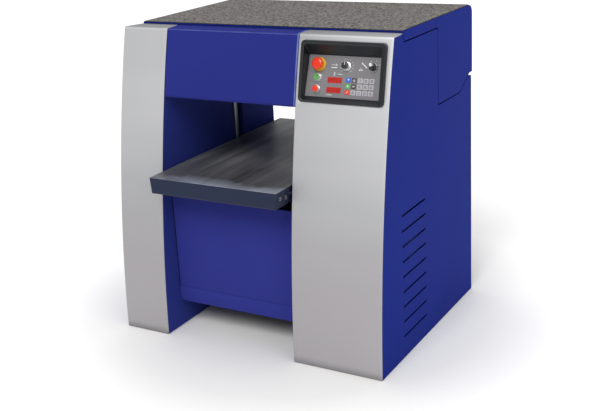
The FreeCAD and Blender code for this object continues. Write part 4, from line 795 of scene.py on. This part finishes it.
def ring(half_a, half_b, corner, corner_steps=6, side_steps=1):
    """Closed loop (a, b) round a rectangle with round corners.

    Each quarter is an arc of the corner radius about its own centre, and the points of a straight
    side are evenly spaced between two arcs.
    """
    corner = min(corner, half_a, half_b)
    loop = []
    for quarter in range(4):
        turn = quarter * math.pi / 2
        sign_a = 1 if quarter in (0, 3) else -1
        sign_b = 1 if quarter in (0, 1) else -1
        centre = np.array([sign_a * (half_a - corner), sign_b * (half_b - corner)])
        angle = np.linspace(turn, turn + math.pi / 2, corner_steps + 1)
        loop.append(centre + corner * np.stack([np.cos(angle), np.sin(angle)], axis=1))
    if side_steps > 1:
        share = np.linspace(0.0, 1.0, side_steps + 1)[1:-1, None]
        ends = [loop[(k + 1) % 4][0] for k in range(4)]
        loop = [np.concatenate([arc, arc[-1] * (1 - share) + end * share]) for arc, end in zip(loop, ends)]
    return np.concatenate(loop)


def slab(surface, a, b, corner, section, finish_index=0, side_steps=1):
    """Rounded slab on a surface(a, b, out).

    section lists (inset, out) from the back edge to the front; each entry is a rounded rectangle
    that is smaller by the inset. The first and the last one are closed.
    """
    centre = ((a[0] + a[1]) / 2, (b[0] + b[1]) / 2)
    half = ((a[1] - a[0]) / 2, (b[1] - b[0]) / 2)
    rows = []
    for inset, out in section:
        loop = ring(half[0] - inset, half[1] - inset, max(corner - inset, 0.05), 6, side_steps)
        rows.append(surface(centre[0] + loop[:, 0], centre[1] + loop[:, 1], np.full(len(loop), out)))
    return grid_part(np.array(rows), around=True, start_cap=True, end_cap=True, finish_index=finish_index)


def round_over(thick, radius):
    """Section (inset, out) of a slab with a quarter-circle front edge."""
    angle = np.linspace(0.0, math.pi / 2, 5)
    edge = [(radius * (1 - math.cos(t)), thick - radius * (1 - math.sin(t))) for t in angle]
    return [(0.0, 0.0)] + edge


def turned(surface, at, profile, segments=48, finish_index=0, lobes=0, lobe_depth=0.0):
    """Surface of revolution about the normal of a surface(a, b, out).

    profile lists (radius, out). With lobes, each radius over 60 % of the largest is made smaller
    by a cosine wave round the axis, more so towards the largest.
    """
    theta = np.linspace(0.0, 2 * math.pi, segments, endpoint=False)
    profile = np.array(profile, float)
    radius = profile[:, :1] * np.ones(segments)
    if lobes:
        share = np.clip((profile[:, :1] / profile[:, 0].max() - 0.6) / 0.4, 0.0, 1.0)
        radius = radius * (1 - lobe_depth * share * (0.5 - 0.5 * np.cos(lobes * theta)))
    out = profile[:, 1:] * np.ones(segments)
    points = surface(at[0] + radius * np.cos(theta), at[1] + radius * np.sin(theta), out)
    return grid_part(points, around=True, finish_index=finish_index)


def split_rows(part, bands, segments=48):
    """The same turned part in bands (from, to, finish) of its rows of faces, of so many segments each."""
    return [
        {**part, "faces": part["faces"][start * segments:end * segments], "finish": tone}
        for start, end, tone in bands
    ]


def on_plate(a, b, out):
    """Point on the tilted control plate: a across, b up the plate, out of its face.

    The plate leans back by its tilt, so b goes back by its sine and up by its cosine, and out
    goes forward by the cosine and up by the sine.
    """
    sin, cos = math.sin(PLATE_TILT), math.cos(PLATE_TILT)
    y = PLATE_FOOT[0] + b * sin - out * cos
    z = PLATE_FOOT[1] + b * cos + out * sin
    return np.stack([a, y, z], axis=-1)


def spun(surface, at, angle):
    """The same surface with (a, b) turned about a point."""
    sin, cos = math.sin(angle), math.cos(angle)

    def made(a, b, out):
        a, b = a - at[0], b - at[1]
        return surface(at[0] + a * cos - b * sin, at[1] + a * sin + b * cos, out)

    return made


def level(height):
    """Surface that maps (x, y, out) to a horizontal plane."""
    return lambda a, b, out: np.stack([a, b, height + out], axis=-1)


def upright(y):
    """Surface that maps (x, z, out) to a plane that faces the front."""
    return lambda a, b, out: np.stack([a, y - out, b], axis=-1)


# ---------------------------------------------------------------- operators
class PlanerStep(bpy.types.Operator):
    """Shared parts of the operators below."""

    bl_options = {"REGISTER", "UNDO"}


class PLANER_OT_front_covers(PlanerStep):
    """The two silver column covers"""

    bl_idname = "planer.front_covers"
    bl_label = "Front covers"

    def execute(self, context):
        folds = context.scene.planer_folds
        radius = folds.cover_fold / MM

        def outside_window(centres):
            """Mask of the faces that aren't in the window of the controls."""
            across = (centres[:, 0] > WINDOW_X[0]) & (centres[:, 0] < WINDOW_X[1])
            up = (centres[:, 2] > WINDOW_Z[0]) & (centres[:, 2] < WINDOW_Z[1])
            return ~(across & up)

        line, normals = front_line(COVER_FOOT)
        across, into = rolled_section((-HALF_WIDTH, LEFT_WALL), radius, radius + 0.1)
        surface = carried(line, normals, across, into)
        # the outer corner of the top strip is cut off on a slant, beside the hood
        share = np.clip((line[:, 0] - STRIP_CUT_Y) / (STRIP_BACK[0] - STRIP_CUT_Y), 0.0, 1.0)
        edge = share * (HOOD_LEFT - SHOULDER_GAP + HALF_WIDTH)
        width = LEFT_WALL + HALF_WIDTH
        surface[..., 0] = LEFT_WALL - (LEFT_WALL - surface[..., 0]) * ((width - edge) / width)[:, None]
        left = grid_part(surface)
        line, normals = front_line(COVER_FOOT, levels=WINDOW_Z)
        across, into = rolled_section((RIGHT_WALL, HALF_WIDTH), radius, radius + 0.1, lines=WINDOW_X)
        right = grid_part(carried(line, normals, across, into), keep=outside_window)
        for name, sheet, node in (
            ("cover_left", left, "left_front_cover"),
            ("cover_right", right, "right_front_cover"),
        ):
            piece = make_piece(
                name, [sheet], ["silver_powder"], "frame", (node,), closed=False
            )
            thicken(piece, folds.sheet)
        return {"FINISHED"}


class PLANER_OT_head_panel(PlanerStep):
    """The blue panel of the head, folded back at both ends"""

    bl_idname = "planer.head_panel"
    bl_label = "Head panel"

    def execute(self, context):
        folds = context.scene.planer_folds
        radius = folds.head_fold / MM
        x = (LEFT_WALL + 1.2, RIGHT_WALL - 1.2)
        line, normals = front_line(HEAD_LOW, arc_steps=24)
        across, into = rolled_section(x, radius, radius + 1.0, fold_steps=8)
        sheet = grid_part(carried(line, normals, across, into))
        # the lower edge is turned in: a level lip from just behind the front
        low_y = float(front_y(HEAD_LOW))
        lip_line = np.array([[low_y + 16.0, HEAD_LOW], [low_y + 0.4, HEAD_LOW]])
        lip_normals = np.array([[0.0, -1.0], [0.0, -1.0]])
        lip_across = np.linspace(x[0] + 1.0, x[1] - 1.0, 4)
        lip = grid_part(carried(lip_line, lip_normals, lip_across, np.zeros(4)))
        piece = make_piece(
            "head_panel", [sheet, lip], ["head_blue"], "frame", ("head_front_panel",),
            closed=False,
        )
        thicken(piece, folds.sheet * 0.8)
        return {"FINISHED"}


class PLANER_OT_lower_panel(PlanerStep):
    """The recessed panel below the table with its set-back foot strip"""

    bl_idname = "planer.lower_panel"
    bl_label = "Lower panel"

    def execute(self, context):
        main = slab(upright(99.0), (-339.0, 194.0), (163.5, 522.0), 3.0, round_over(8.0, 3.0), side_steps=2)
        strip = slab(upright(97.0), (-343.2, 195.2), (103.0, 164.5), 2.0, round_over(3.0, 1.5))
        make_piece(
            "lower_panel", [main, strip], ["foot_blue"], "frame", ("lower_front_panel",),
            sharp=50.0,
        )
        return {"FINISHED"}


class PLANER_OT_sheet_bodies(PlanerStep):
    """Hood and outer side panels with eased edges; finishes of the inner walls, rear panels and chip chute
    """

    bl_idname = "planer.sheet_bodies"
    bl_label = "Hood and side sheets"

    def execute(self, context):
        ease = context.scene.planer_folds.ease
        for node, name in (
            ("hood", "hood_sheet"),
            ("left_side_panel", "side_sheet_left"),
            ("right_side_panel", "side_sheet_right"),
        ):
            eased_copy(node, name, "side_blue", ease)
        for node in ("left_side_frame", "right_side_frame"):
            dress(node, "wall_blue")
        for node in ("rear_panels", "chip_chute"):
            dress(node, "blue_powder")
        return {"FINISHED"}


class PLANER_OT_mat(PlanerStep):
    """The speckled mat on the hood"""

    bl_idname = "planer.mat"
    bl_label = "Top mat"

    def execute(self, context):
        x = (HOOD_LEFT + 2.0, HALF_WIDTH - 2.0)
        sheet = slab(level(HOOD_TOP), x, (226.0, 820.0), 3.0, round_over(3.0, 1.0))
        rim = {**sheet, "faces": sheet["faces"][:-1], "finish": 1}
        top = {**sheet, "faces": sheet["faces"][-1:], "finish": 0}
        make_piece("mat_sheet", [rim, top], ["speckled_mat", "mat_edge"], "hood", ("top_mat",))
        return {"FINISHED"}


class PLANER_OT_table(PlanerStep):
    """The lifting table, its shoes, tubes, nuts and end screws"""

    bl_idname = "planer.table"
    bl_label = "Table"

    def execute(self, context):
        eased_copy("table", "table_casting", "table_iron", 0.0009)
        dress("table_guide_shoes", "turned_bronze")
        dress("table_end_bolts", "bolt_dark")
        dress("lift_tubes", "ground_steel")
        dress("lift_nuts", "turned_bronze")
        return {"FINISHED"}


class PLANER_OT_bezel(PlanerStep):
    """The moulded frame and recess of the control panel"""

    bl_idname = "planer.bezel"
    bl_label = "Control bezel"

    def execute(self, context):
        outer = ((206.0, 518.0), (909.0, 1105.0))
        lip = ((217.0, 497.5), (916.0, 1092.0))
        # rounded rectangles, each with its share of the way from the outer edge to the lip and its
        # height above the curve of the cover; straight walls go on from the lip to the plate
        rim = [
            (0.0, -1.0), (0.0, 2.0), (0.06, 3.3), (0.18, 4.0), (0.45, 4.2), (0.72, 3.6), (0.9, 2.0),
            (1.0, -0.6),
        ]
        rows = []
        for share, height in rim:
            x = [outer[0][k] * (1 - share) + lip[0][k] * share for k in (0, 1)]
            z = [outer[1][k] * (1 - share) + lip[1][k] * share for k in (0, 1)]
            loop = ring((x[1] - x[0]) / 2, (z[1] - z[0]) / 2, 13.0 * (1 - share) + 7.0 * share, 8, 8)
            across = sum(x) / 2 + loop[:, 0]
            up = sum(z) / 2 + loop[:, 1]
            rows.append(np.stack([across, front_y(up) - height, up], axis=-1))
        back = ring((PLATE_WIDTH[1] - PLATE_WIDTH[0]) / 2, PLATE_HEIGHT / 2, 3.0, 8, 8)
        across = sum(PLATE_WIDTH) / 2 + back[:, 0]
        seat = on_plate(across, PLATE_HEIGHT / 2 + back[:, 1], np.full(len(back), -1.0))
        mouth = rows[-1]
        for share in (0.04, 0.35, 0.7, 1.0):
            rows.append(mouth * (1 - share) + seat * share)
        bowl = grid_part(np.array(rows), around=True, end_cap=True)
        make_piece(
            "bezel_moulding", [bowl], ["bezel_plastic"], "frame", ("control_bezel",),
            sharp=50.0,
        )
        return {"FINISHED"}


def mark(points, width, finish_index=0, rise=0.12, low=-0.05):
    """Printed stroke on the plate: a thin flat bar along each step of a polyline of (a, b).

    Its corners lie half the width to either side of the step, at the heights low and rise.
    """
    points = np.array(points, float)
    parts = []
    for start, end in zip(points[:-1], points[1:]):
        step = (end - start) / np.linalg.norm(end - start)
        side = np.array([-step[1], step[0]]) * width / 2
        corners = np.array([start - side, end - side, end + side, start + side])
        rows = np.array([on_plate(corners[:, 0], corners[:, 1], np.full(4, out)) for out in (low, rise)])
        parts.append(grid_part(rows, around=True, start_cap=True, end_cap=True, finish_index=finish_index))
    return parts


def tick(centre, degrees, inner, outer, width):
    """Stroke that points away from a centre."""
    angle = math.radians(degrees)
    way = np.array([math.cos(angle), math.sin(angle)])
    return mark([centre + way * inner, centre + way * outer], width)


class PLANER_OT_plate(PlanerStep):
    """The tilted control plate and the plain marks printed on it"""

    bl_idname = "planer.plate"
    bl_label = "Control plate"

    def execute(self, context):
        scale_radius = context.scene.planer_controls.scale_radius / MM
        sheet = slab(on_plate, (216.8, 505.2), (0.8, 139.6), 3.0, [(0.0, -2.6), (0.0, -0.3), (0.3, 0.0)])
        make_piece("plate_sheet", [sheet], ["plate_foil"], "frame", ("control_plate",))
        marks = []
        for k in range(11):
            marks += tick(KNOB_AT, 225.0 - 27.0 * k, scale_radius, scale_radius + 4.0, 1.1)
        for degrees in (118.0, 72.0, 26.0):
            marks += tick(SELECTOR_AT, degrees, 20.0, 24.0, 1.4)
        # board under a feed arrow, left of the knob
        marks += mark([(303.0, 100.0), (325.0, 100.0)], 2.4)
        marks += mark([(303.0, 109.0), (323.0, 109.0)], 1.2)
        marks += mark([(318.0, 113.0), (324.0, 109.0), (318.0, 105.0)], 1.2)
        # ramp and blade, between knob and selector
        marks += mark([(404.0, 95.0), (418.0, 95.0), (411.0, 101.5), (404.0, 95.0)], 1.6)
        marks += mark([(412.0, 120.0), (432.0, 104.0)], 3.2)
        # up and down arrow with a line, above the displays
        marks += mark([(318.0, 74.0), (318.0, 84.0)], 1.1)
        marks += mark([(315.0, 81.0), (318.0, 85.0), (321.0, 81.0)], 1.0)
        marks += mark([(315.0, 77.0), (318.0, 73.0), (321.0, 77.0)], 1.0)
        marks += mark([(330.0, 79.0), (346.0, 79.0)], 1.6)
        # line below the displays
        marks += mark([(297.0, 9.5), (318.0, 9.5)], 1.6)
        make_piece("plate_marks", marks, ["plate_print"], "frame", ())
        return {"FINISHED"}


class PLANER_OT_emergency_stop(PlanerStep):
    """Mushroom head with grip lobes on its yellow base"""

    bl_idname = "planer.emergency_stop"
    bl_label = "Emergency stop"

    def execute(self, context):
        controls = context.scene.planer_controls
        r = controls.mushroom_radius / MM
        disc = [(9.1, 0.1), (22.9, 0.1), (23.5, 0.6), (23.5, 2.2), (22.9, 2.9), (14.6, 3.1)]
        collar = [(14.6, 3.1), (14.2, 3.8), (14.0, 8.3), (13.4, 9.0), (9.1, 9.0), (9.1, 0.1)]
        seat = [turned(on_plate, STOP_HEAD_AT, profile) for profile in (disc, collar)]
        make_piece("estop_seat", seat, ["base_yellow"], "frame", ("estop_base",))
        head = [
            (0.0, 6.2), (9.0, 6.2), (9.0, 15.2), (12.0, 15.6), (r * 0.9, 16.0), (r * 0.985, 16.9),
            (r, 18.6), (r, 19.8), (r * 0.975, 21.5), (r * 0.9, 22.9), (r * 0.76, 24.2), (r * 0.55, 25.2),
            (r * 0.3, 25.8), (0.0, 26.0),
        ]
        lobes = controls.mushroom_lobes
        shape = turned(on_plate, STOP_HEAD_AT, head, segments=lobes * 8, lobes=lobes, lobe_depth=0.08)
        make_piece(
            "estop_mushroom", [shape], ["mushroom_red"], "estop", ("estop_button",), sharp=60.0
        )
        return {"FINISHED"}


def collar_profile(outer, inner, height):
    """Ring with a rounded outer shoulder and a chamfered mouth."""
    shoulder = [(outer, height * 0.45), (outer - 0.5, height * 0.75), (outer - 1.4, height)]
    mouth = [(inner + 0.9, height), (inner, height - 0.7)]
    return [(inner, 0.1), (outer, 0.1), *shoulder, *mouth, (inner, 0.1)]


class PLANER_OT_push_buttons(PlanerStep):
    """Start and stop caps in bright collars, and the rings of knob and selector"""

    bl_idname = "planer.push_buttons"
    bl_label = "Push buttons"

    def execute(self, context):
        # outer radius, bore and height of each ring
        rings = (
            (START_AT, 15.0, 11.6, 6.0),
            (STOP_AT, 15.0, 11.6, 6.0),
            (KNOB_AT, 17.5, 8.1, 4.0),
            (SELECTOR_AT, 16.0, 8.1, 4.0),
        )
        collars = [turned(on_plate, at, collar_profile(*sizes)) for at, *sizes in rings]
        make_piece("bright_collars", collars, ["collar_chrome"], "frame", ("button_collars",))
        cap = [
            (0.0, 3.5), (11.3, 3.5), (11.3, 10.0), (11.3, 12.0), (10.9, 12.8), (9.8, 13.2), (6.0, 13.6),
            (0.0, 13.8),
        ]
        bar_ends = [(START_AT[0] + 1.0, START_AT[1] + 0.5), (START_AT[0] + 6.0, START_AT[1] + 6.0)]
        bar = mark(bar_ends, 2.6, finish_index=1, rise=13.9, low=12.6)
        for at, name, tone, body, node, slot, extra in (
            (START_AT, "start_cap", "cap_green", "start", "start_button", "green_plastic", bar),
            (STOP_AT, "stop_cap", "cap_red", "stop", "stop_button", "red_plastic", []),
        ):
            # the foot and the flank are bright, the rest is coloured
            parts = split_rows(turned(on_plate, at, cap), ((0, 3, 2), (3, 7, 0))) + extra
            make_piece(name, parts, [tone, "cap_mark", "collar_chrome"], body, (node,))
        return {"FINISHED"}


class PLANER_OT_knobs(PlanerStep):
    """Speed knob with a fluted skirt, and the selector with its wing"""

    bl_idname = "planer.knobs"
    bl_label = "Knob and selector"

    def execute(self, context):
        segments = 96
        profile = [
            (0.0, 0.4), (7.9, 0.4), (7.9, 4.4), (13.0, 4.4), (13.2, 5.4), (12.6, 9.0), (11.9, 18.2),
            (11.2, 19.4), (9.6, 20.0), (0.0, 20.0),
        ]
        grip = turned(on_plate, KNOB_AT, profile, segments=segments, lobes=24, lobe_depth=0.06)
        rows = split_rows(grip, ((0, 3, 0), (3, 6, 2), (6, 9, 0)), segments)
        across, up = KNOB_AT
        line_section = [(0.0, 19.5), (0.0, 20.2)]
        line = slab(on_plate, (across - 0.9, across + 0.9), (up + 1.0, up + 11.0), 0.6, line_section, 1)
        make_piece(
            "speed_grip", rows + [line], ["black_plastic", "plate_print", "screw_zinc"],
            "speed_knob", ("speed_knob",),
        )
        profile = [
            (0.0, 0.4), (7.9, 0.4), (7.9, 4.4), (13.2, 4.4), (13.4, 5.2), (13.0, 9.2), (12.2, 10.0),
            (0.0, 10.0),
        ]
        seat = turned(on_plate, SELECTOR_AT, profile)
        wing_section = [(0.0, 9.0), (0.0, 18.5), (0.5, 20.2), (1.4, 21.0)]
        tip_section = [(0.0, 9.5), (0.0, 18.6), (0.5, 20.4), (1.4, 21.2)]
        turn = spun(on_plate, SELECTOR_AT, SELECTOR_REST)
        across, up = SELECTOR_AT
        wing = slab(turn, (across - 4.0, across + 4.0), (up - 12.0, up + 11.8), 3.8, wing_section)
        # the light grey of the tip is a painted glint
        tip = slab(turn, (across - 5.2, across + 5.2), (up - 0.5, up + 13.0), 4.6, tip_section, 1)
        make_piece(
            "selector_wing", [seat, wing, tip], ["black_plastic", "tip_grey"],
            "mode_selector", ("mode_selector",),
        )
        return {"FINISHED"}


# segments of a plain figure: (a, b) ends on a cell one wide and two high
SEGMENTS = {
    "top": ((0, 2), (1, 2)),
    "middle": ((0, 1), (1, 1)),
    "bottom": ((0, 0), (1, 0)),
    "left_up": ((0, 1), (0, 2)),
    "right_up": ((1, 1), (1, 2)),
    "left_low": ((0, 0), (0, 1)),
    "right_low": ((1, 0), (1, 1)),
}
FIGURES = {
    "0": "top bottom left_up right_up left_low right_low",
    "1": "right_up right_low",
    "2": "top middle bottom right_up left_low",
    "3": "top middle bottom right_up right_low",
    "4": "middle left_up right_up right_low",
    "5": "top middle bottom left_up right_low",
    "6": "top middle bottom left_up left_low right_low",
    "7": "top right_up right_low",
    "8": "top middle bottom left_up right_up left_low right_low",
    "9": "top middle bottom left_up right_up right_low",
}


def figure(text, centre, size, width, finish_index, rise):
    """Strokes of one plain figure, centred on the plate."""
    parts = []
    for segment in FIGURES[text].split():
        ends = [
            (centre[0] + (a - 0.5) * size[0], centre[1] + (b - 1.0) * size[1] / 2)
            for a, b in SEGMENTS[segment]
        ]
        parts += mark(ends, width, finish_index, rise)
    return parts


class PLANER_OT_displays(PlanerStep):
    """Two red display windows with plain figures"""

    bl_idname = "planer.displays"
    bl_label = "Displays"

    def execute(self, context):
        parts = []
        a = (DISPLAY_ACROSS - DISPLAY_HALF[0], DISPLAY_ACROSS + DISPLAY_HALF[0])
        for height in DISPLAY_HEIGHTS:
            b = (height - DISPLAY_HALF[1], height + DISPLAY_HALF[1])
            parts.append(slab(on_plate, a, b, 1.2, [(0.0, 0.0), (0.0, 1.1), (0.4, 1.5)]))
            for k in range(5):
                parts += figure("8", (DISPLAY_ACROSS - 20.0 + 10.0 * k, height), (5.2, 11.0), 1.3, 1, 1.56)
        make_piece(
            "display_pair", parts, ["display_red", "display_digit"], "frame", ("display_windows",),
        )
        return {"FINISHED"}


class PLANER_OT_keypad(PlanerStep):
    """Fifteen foil keys with plain figures"""

    bl_idname = "planer.keypad"
    bl_label = "Keypad"

    tones = (
        "key_light", "key_dark", "key_blue", "key_green", "key_red", "key_digit", "plate_print", "key_rim",
    )
    # finish and legend of each key, from the lowest row up
    rows = (
        (("key_red", "stroke"), *(("key_light", digit) for digit in "0123")),
        (("key_green", "plus"), ("key_dark", "cross"), *(("key_light", digit) for digit in "456")),
        (("key_blue", "up"), ("key_dark", "down"), *(("key_light", digit) for digit in "789")),
    )
    # strokes of each plain symbol, from the middle of its key, with their widths
    symbols = {
        "up": (([(-4.0, 0.5), (0.0, 4.5), (4.0, 0.5)], 1.5), ([(0.0, -4.0), (0.0, 4.0)], 1.5)),
        "down": (([(-4.0, -0.5), (0.0, -4.5), (4.0, -0.5)], 1.5), ([(0.0, -4.0), (0.0, 4.0)], 1.5)),
        "plus": (([(-4.5, 0.0), (4.5, 0.0)], 1.8), ([(0.0, -4.0), (0.0, 4.0)], 2.3)),
        "cross": (([(-4.5, 0.0), (4.5, 0.0)], 1.8), ([(0.0, -4.0), (0.0, 4.0)], 0.5)),
        "stroke": (([(-3.5, -3.5), (3.5, 3.5)], 1.5),),
    }

    def execute(self, context):
        dome = context.scene.planer_controls.key_rise / MM
        section = [(0.0, 0.0), (0.0, dome * 0.4), (0.25, dome * 0.75), (0.8, dome), (2.2, dome * 1.12)]
        on_dome = dome * 1.12 + 0.12
        tone = {name: index for index, name in enumerate(self.tones)}
        parts = []
        for row, keys in enumerate(self.rows):
            for column, (look, legend) in enumerate(keys):
                centre = (FIRST_KEY_AT[0] + KEY_PITCH[0] * column, FIRST_KEY_AT[1] + KEY_PITCH[1] * row)
                a = (centre[0] - KEY_HALF[0], centre[0] + KEY_HALF[0])
                b = (centre[1] - KEY_HALF[1], centre[1] + KEY_HALF[1])
                key = slab(on_plate, a, b, 1.8, section, tone[look])
                if look == "key_light":
                    parts.append({**key, "faces": key["faces"][:-1], "finish": tone["key_rim"]})
                    key = {**key, "faces": key["faces"][-1:]}
                parts.append(key)
                if legend in FIGURES:
                    parts += figure(legend, centre, (3.6, 7.2), 1.1, tone["key_digit"], on_dome)
                for points, width in self.symbols.get(legend, ()):
                    stroke = [(centre[0] + step[0], centre[1] + step[1]) for step in points]
                    parts += mark(stroke, width, tone["plate_print"], on_dome)
        make_piece("keypad_domes", parts, self.tones, "frame", ("keypad_keys",))
        return {"FINISHED"}


class PLANER_OT_fittings(PlanerStep):
    """Finishes of the running gear, the frame and the small hardware"""

    bl_idname = "planer.fittings"
    bl_label = "Running gear and fittings"

    finishes = {
        "frame_primer": ("base_pans", "crossmembers", "head_bridges"),
        "outlet_enamel": ("dust_outlet",),
        "motor_enamel": ("main_motor", "feed_motor", "lift_motor", "head_bearings"),
        "ground_steel": ("pressure_bar", "hinge_base_leaves", "hinge_hood_leaves", "chip_breaker"),
        "guide_steel": ("guide_rails",),
        "turned_steel": (
            "kickback_shaft", "cutterblock", "cutter_pulley", "motor_pulley", "infeed_roller",
            "lift_drive_sprocket", "feed_drive_sprocket", "lift_spindle_front_left",
            "lift_spindle_front_right", "lift_spindle_rear_left", "lift_spindle_rear_right",
        ),
        "knife_steel": ("cutter_knives",),
        "chain_steel": ("drive_chains", "kickback_fingers"),
        "turned_bronze": ("spindle_bearings",),
        "belt_rubber": ("drive_belts",),
        "roller_rubber": ("outfeed_roller",),
        "screw_zinc": ("panel_screws",),
        "black_plastic": ("cable_gland",),
    }

    def execute(self, context):
        for name, nodes in self.finishes.items():
            for node in nodes:
                dress(node, name)
        return {"FINISHED"}


def distant_light(name, source, spread, strength, tone):
    """Even light from a direction; spread is the width of the source as an angle."""
    lamp = bpy.data.lights.new(name, "SUN")
    lamp.angle = math.radians(spread)
    lamp.energy = strength
    lamp.color = tone
    turn = Vector(source).to_track_quat("Z", "Y")
    link(name, lamp).matrix_world = Matrix.Translation(Vector(source) * 3.0) @ turn.to_matrix().to_4x4()


class PLANER_OT_stage(PlanerStep):
    """Floor, surroundings, soft lights and the camera"""

    bl_idname = "planer.stage"
    bl_label = "Stage"

    def execute(self, context):
        stage = context.scene.planer_stage
        self.make_floor()
        self.make_world(stage.sky)
        distant_light("key_light", (0.12, -1.0, 1.05), 30.0, stage.key_strength, (1.0, 0.99, 0.975))
        distant_light("fill_light", (0.95, -0.42, 0.5), 40.0, stage.fill_strength, (1.0, 0.995, 0.98))
        distant_light("top_light", (-0.12, 0.25, 1.0), 60.0, stage.top_strength, (1.0, 1.0, 1.0))
        self.make_camera(stage)
        context.scene.view_settings.view_transform = "Standard"
        return {"FINISHED"}

    @staticmethod
    def make_world(strength):
        """Surroundings that are white when seen directly, and weaker as a light."""
        world = bpy.data.worlds.new("surroundings")
        world.use_nodes = True
        nodes, links = world.node_tree.nodes, world.node_tree.links
        background = nodes["Background"]
        background.inputs["Color"].default_value = (1.0, 1.0, 1.0, 1.0)
        share = nodes.new("ShaderNodeMapRange")
        share.inputs["To Min"].default_value = strength
        links.new(nodes.new("ShaderNodeLightPath").outputs["Is Camera Ray"], share.inputs["Value"])
        links.new(share.outputs["Result"], background.inputs["Strength"])
        bpy.context.scene.world = world

    @staticmethod
    def make_floor():
        """Flat pale floor that reaches past the view on every side; darker near the machine as a painted
        shadow.
        """
        f = Finish("floor_sweep")
        clouds = f.noise(0.8, 3.0)
        away = f.add("ShaderNodeVectorMath", {"operation": "LENGTH"}, Vector=f.object_place).outputs["Value"]
        # painted shadow: darker within about a metre of the machine
        tone = f.plus(f.spread(away, 0.80, 0.98, 0.72, 1.02), f.clouded(clouds, -0.012, 0.012))
        f.set(Base_Color=f.grey(tone), Roughness=f.clouded(clouds, 0.5, 0.6), Specular_IOR_Level=0.2)
        reach = 30.0
        corners = [(a * reach, b * reach, 0.0) for a, b in ((-1, -1), (1, -1), (1, 1), (-1, 1))]
        mesh = bpy.data.meshes.new("floor")
        mesh.from_pydata(corners, [], [(0, 1, 2, 3)])
        mesh.materials.append(f.material)
        link("floor", mesh)

    @staticmethod
    def make_camera(stage):
        """Camera whose axes follow from heading, pitch and roll."""
        heading, pitch, roll = stage.heading, stage.pitch, stage.roll
        flat = Vector((-math.sin(heading), math.cos(heading), 0.0))
        ahead = flat * math.cos(pitch) + Vector((0.0, 0.0, -math.sin(pitch)))
        level_right = Vector((math.cos(heading), math.sin(heading), 0.0))
        level_up = level_right.cross(ahead)
        right = math.cos(roll) * level_right + math.sin(roll) * level_up
        up = -math.sin(roll) * level_right + math.cos(roll) * level_up
        lens = bpy.data.cameras.new("camera")
        lens.sensor_width = 36.0
        lens.lens = stage.lens
        lens.shift_y = stage.shift
        lens.clip_end = 60.0
        camera = link("camera", lens)
        axes = Matrix((right, up, -ahead)).transposed().to_4x4()
        camera.matrix_world = Matrix.Translation(Vector(stage.camera_at)) @ axes
        bpy.context.scene.camera = camera


STEPS = (
    PLANER_OT_front_covers,
    PLANER_OT_head_panel,
    PLANER_OT_lower_panel,
    PLANER_OT_sheet_bodies,
    PLANER_OT_mat,
    PLANER_OT_table,
    PLANER_OT_bezel,
    PLANER_OT_plate,
    PLANER_OT_emergency_stop,
    PLANER_OT_push_buttons,
    PLANER_OT_knobs,
    PLANER_OT_displays,
    PLANER_OT_keypad,
    PLANER_OT_fittings,
    PLANER_OT_stage,
)
SETTINGS = {
    "planer_paint": PlanerPaint,
    "planer_folds": PlanerFolds,
    "planer_controls": PlanerControls,
    "planer_stage": PlanerStage,
}


class PLANER_PT_panel(bpy.types.Panel):
    """Lists the pieces of the planer"""

    bl_idname = "PLANER_PT_panel"
    bl_label = "Thickness planer"
    bl_space_type = "VIEW_3D"
    bl_region_type = "UI"
    bl_category = "Planer"

    def draw(self, context):
        for step in STEPS:
            self.layout.operator(step.bl_idname)
        for name, group in SETTINGS.items():
            box = self.layout.box()
            for key in group.__annotations__:
                box.prop(getattr(context.scene, name), key)


def register():
    """Adds the settings, the operators and the panel."""
    for group in SETTINGS.values():
        bpy.utils.register_class(group)
    for name, group in SETTINGS.items():
        setattr(bpy.types.Scene, name, PointerProperty(type=group))
    for step in STEPS:
        bpy.utils.register_class(step)
    bpy.utils.register_class(PLANER_PT_panel)


def unregister():
    """Takes them away again, in reverse order."""
    bpy.utils.unregister_class(PLANER_PT_panel)
    for step in reversed(STEPS):
        bpy.utils.unregister_class(step)
    for name in SETTINGS:
        delattr(bpy.types.Scene, name)
    for group in reversed(list(SETTINGS.values())):
        bpy.utils.unregister_class(group)


def main():
    """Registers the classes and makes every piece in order."""
    register()
    for step in STEPS:
        call = getattr(bpy.ops.planer, step.bl_idname.split(".")[1])
        if call() != {"FINISHED"}:
            raise RuntimeError(step.bl_label + " was not made")
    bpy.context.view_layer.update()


if __name__ == "__main__":
    main()
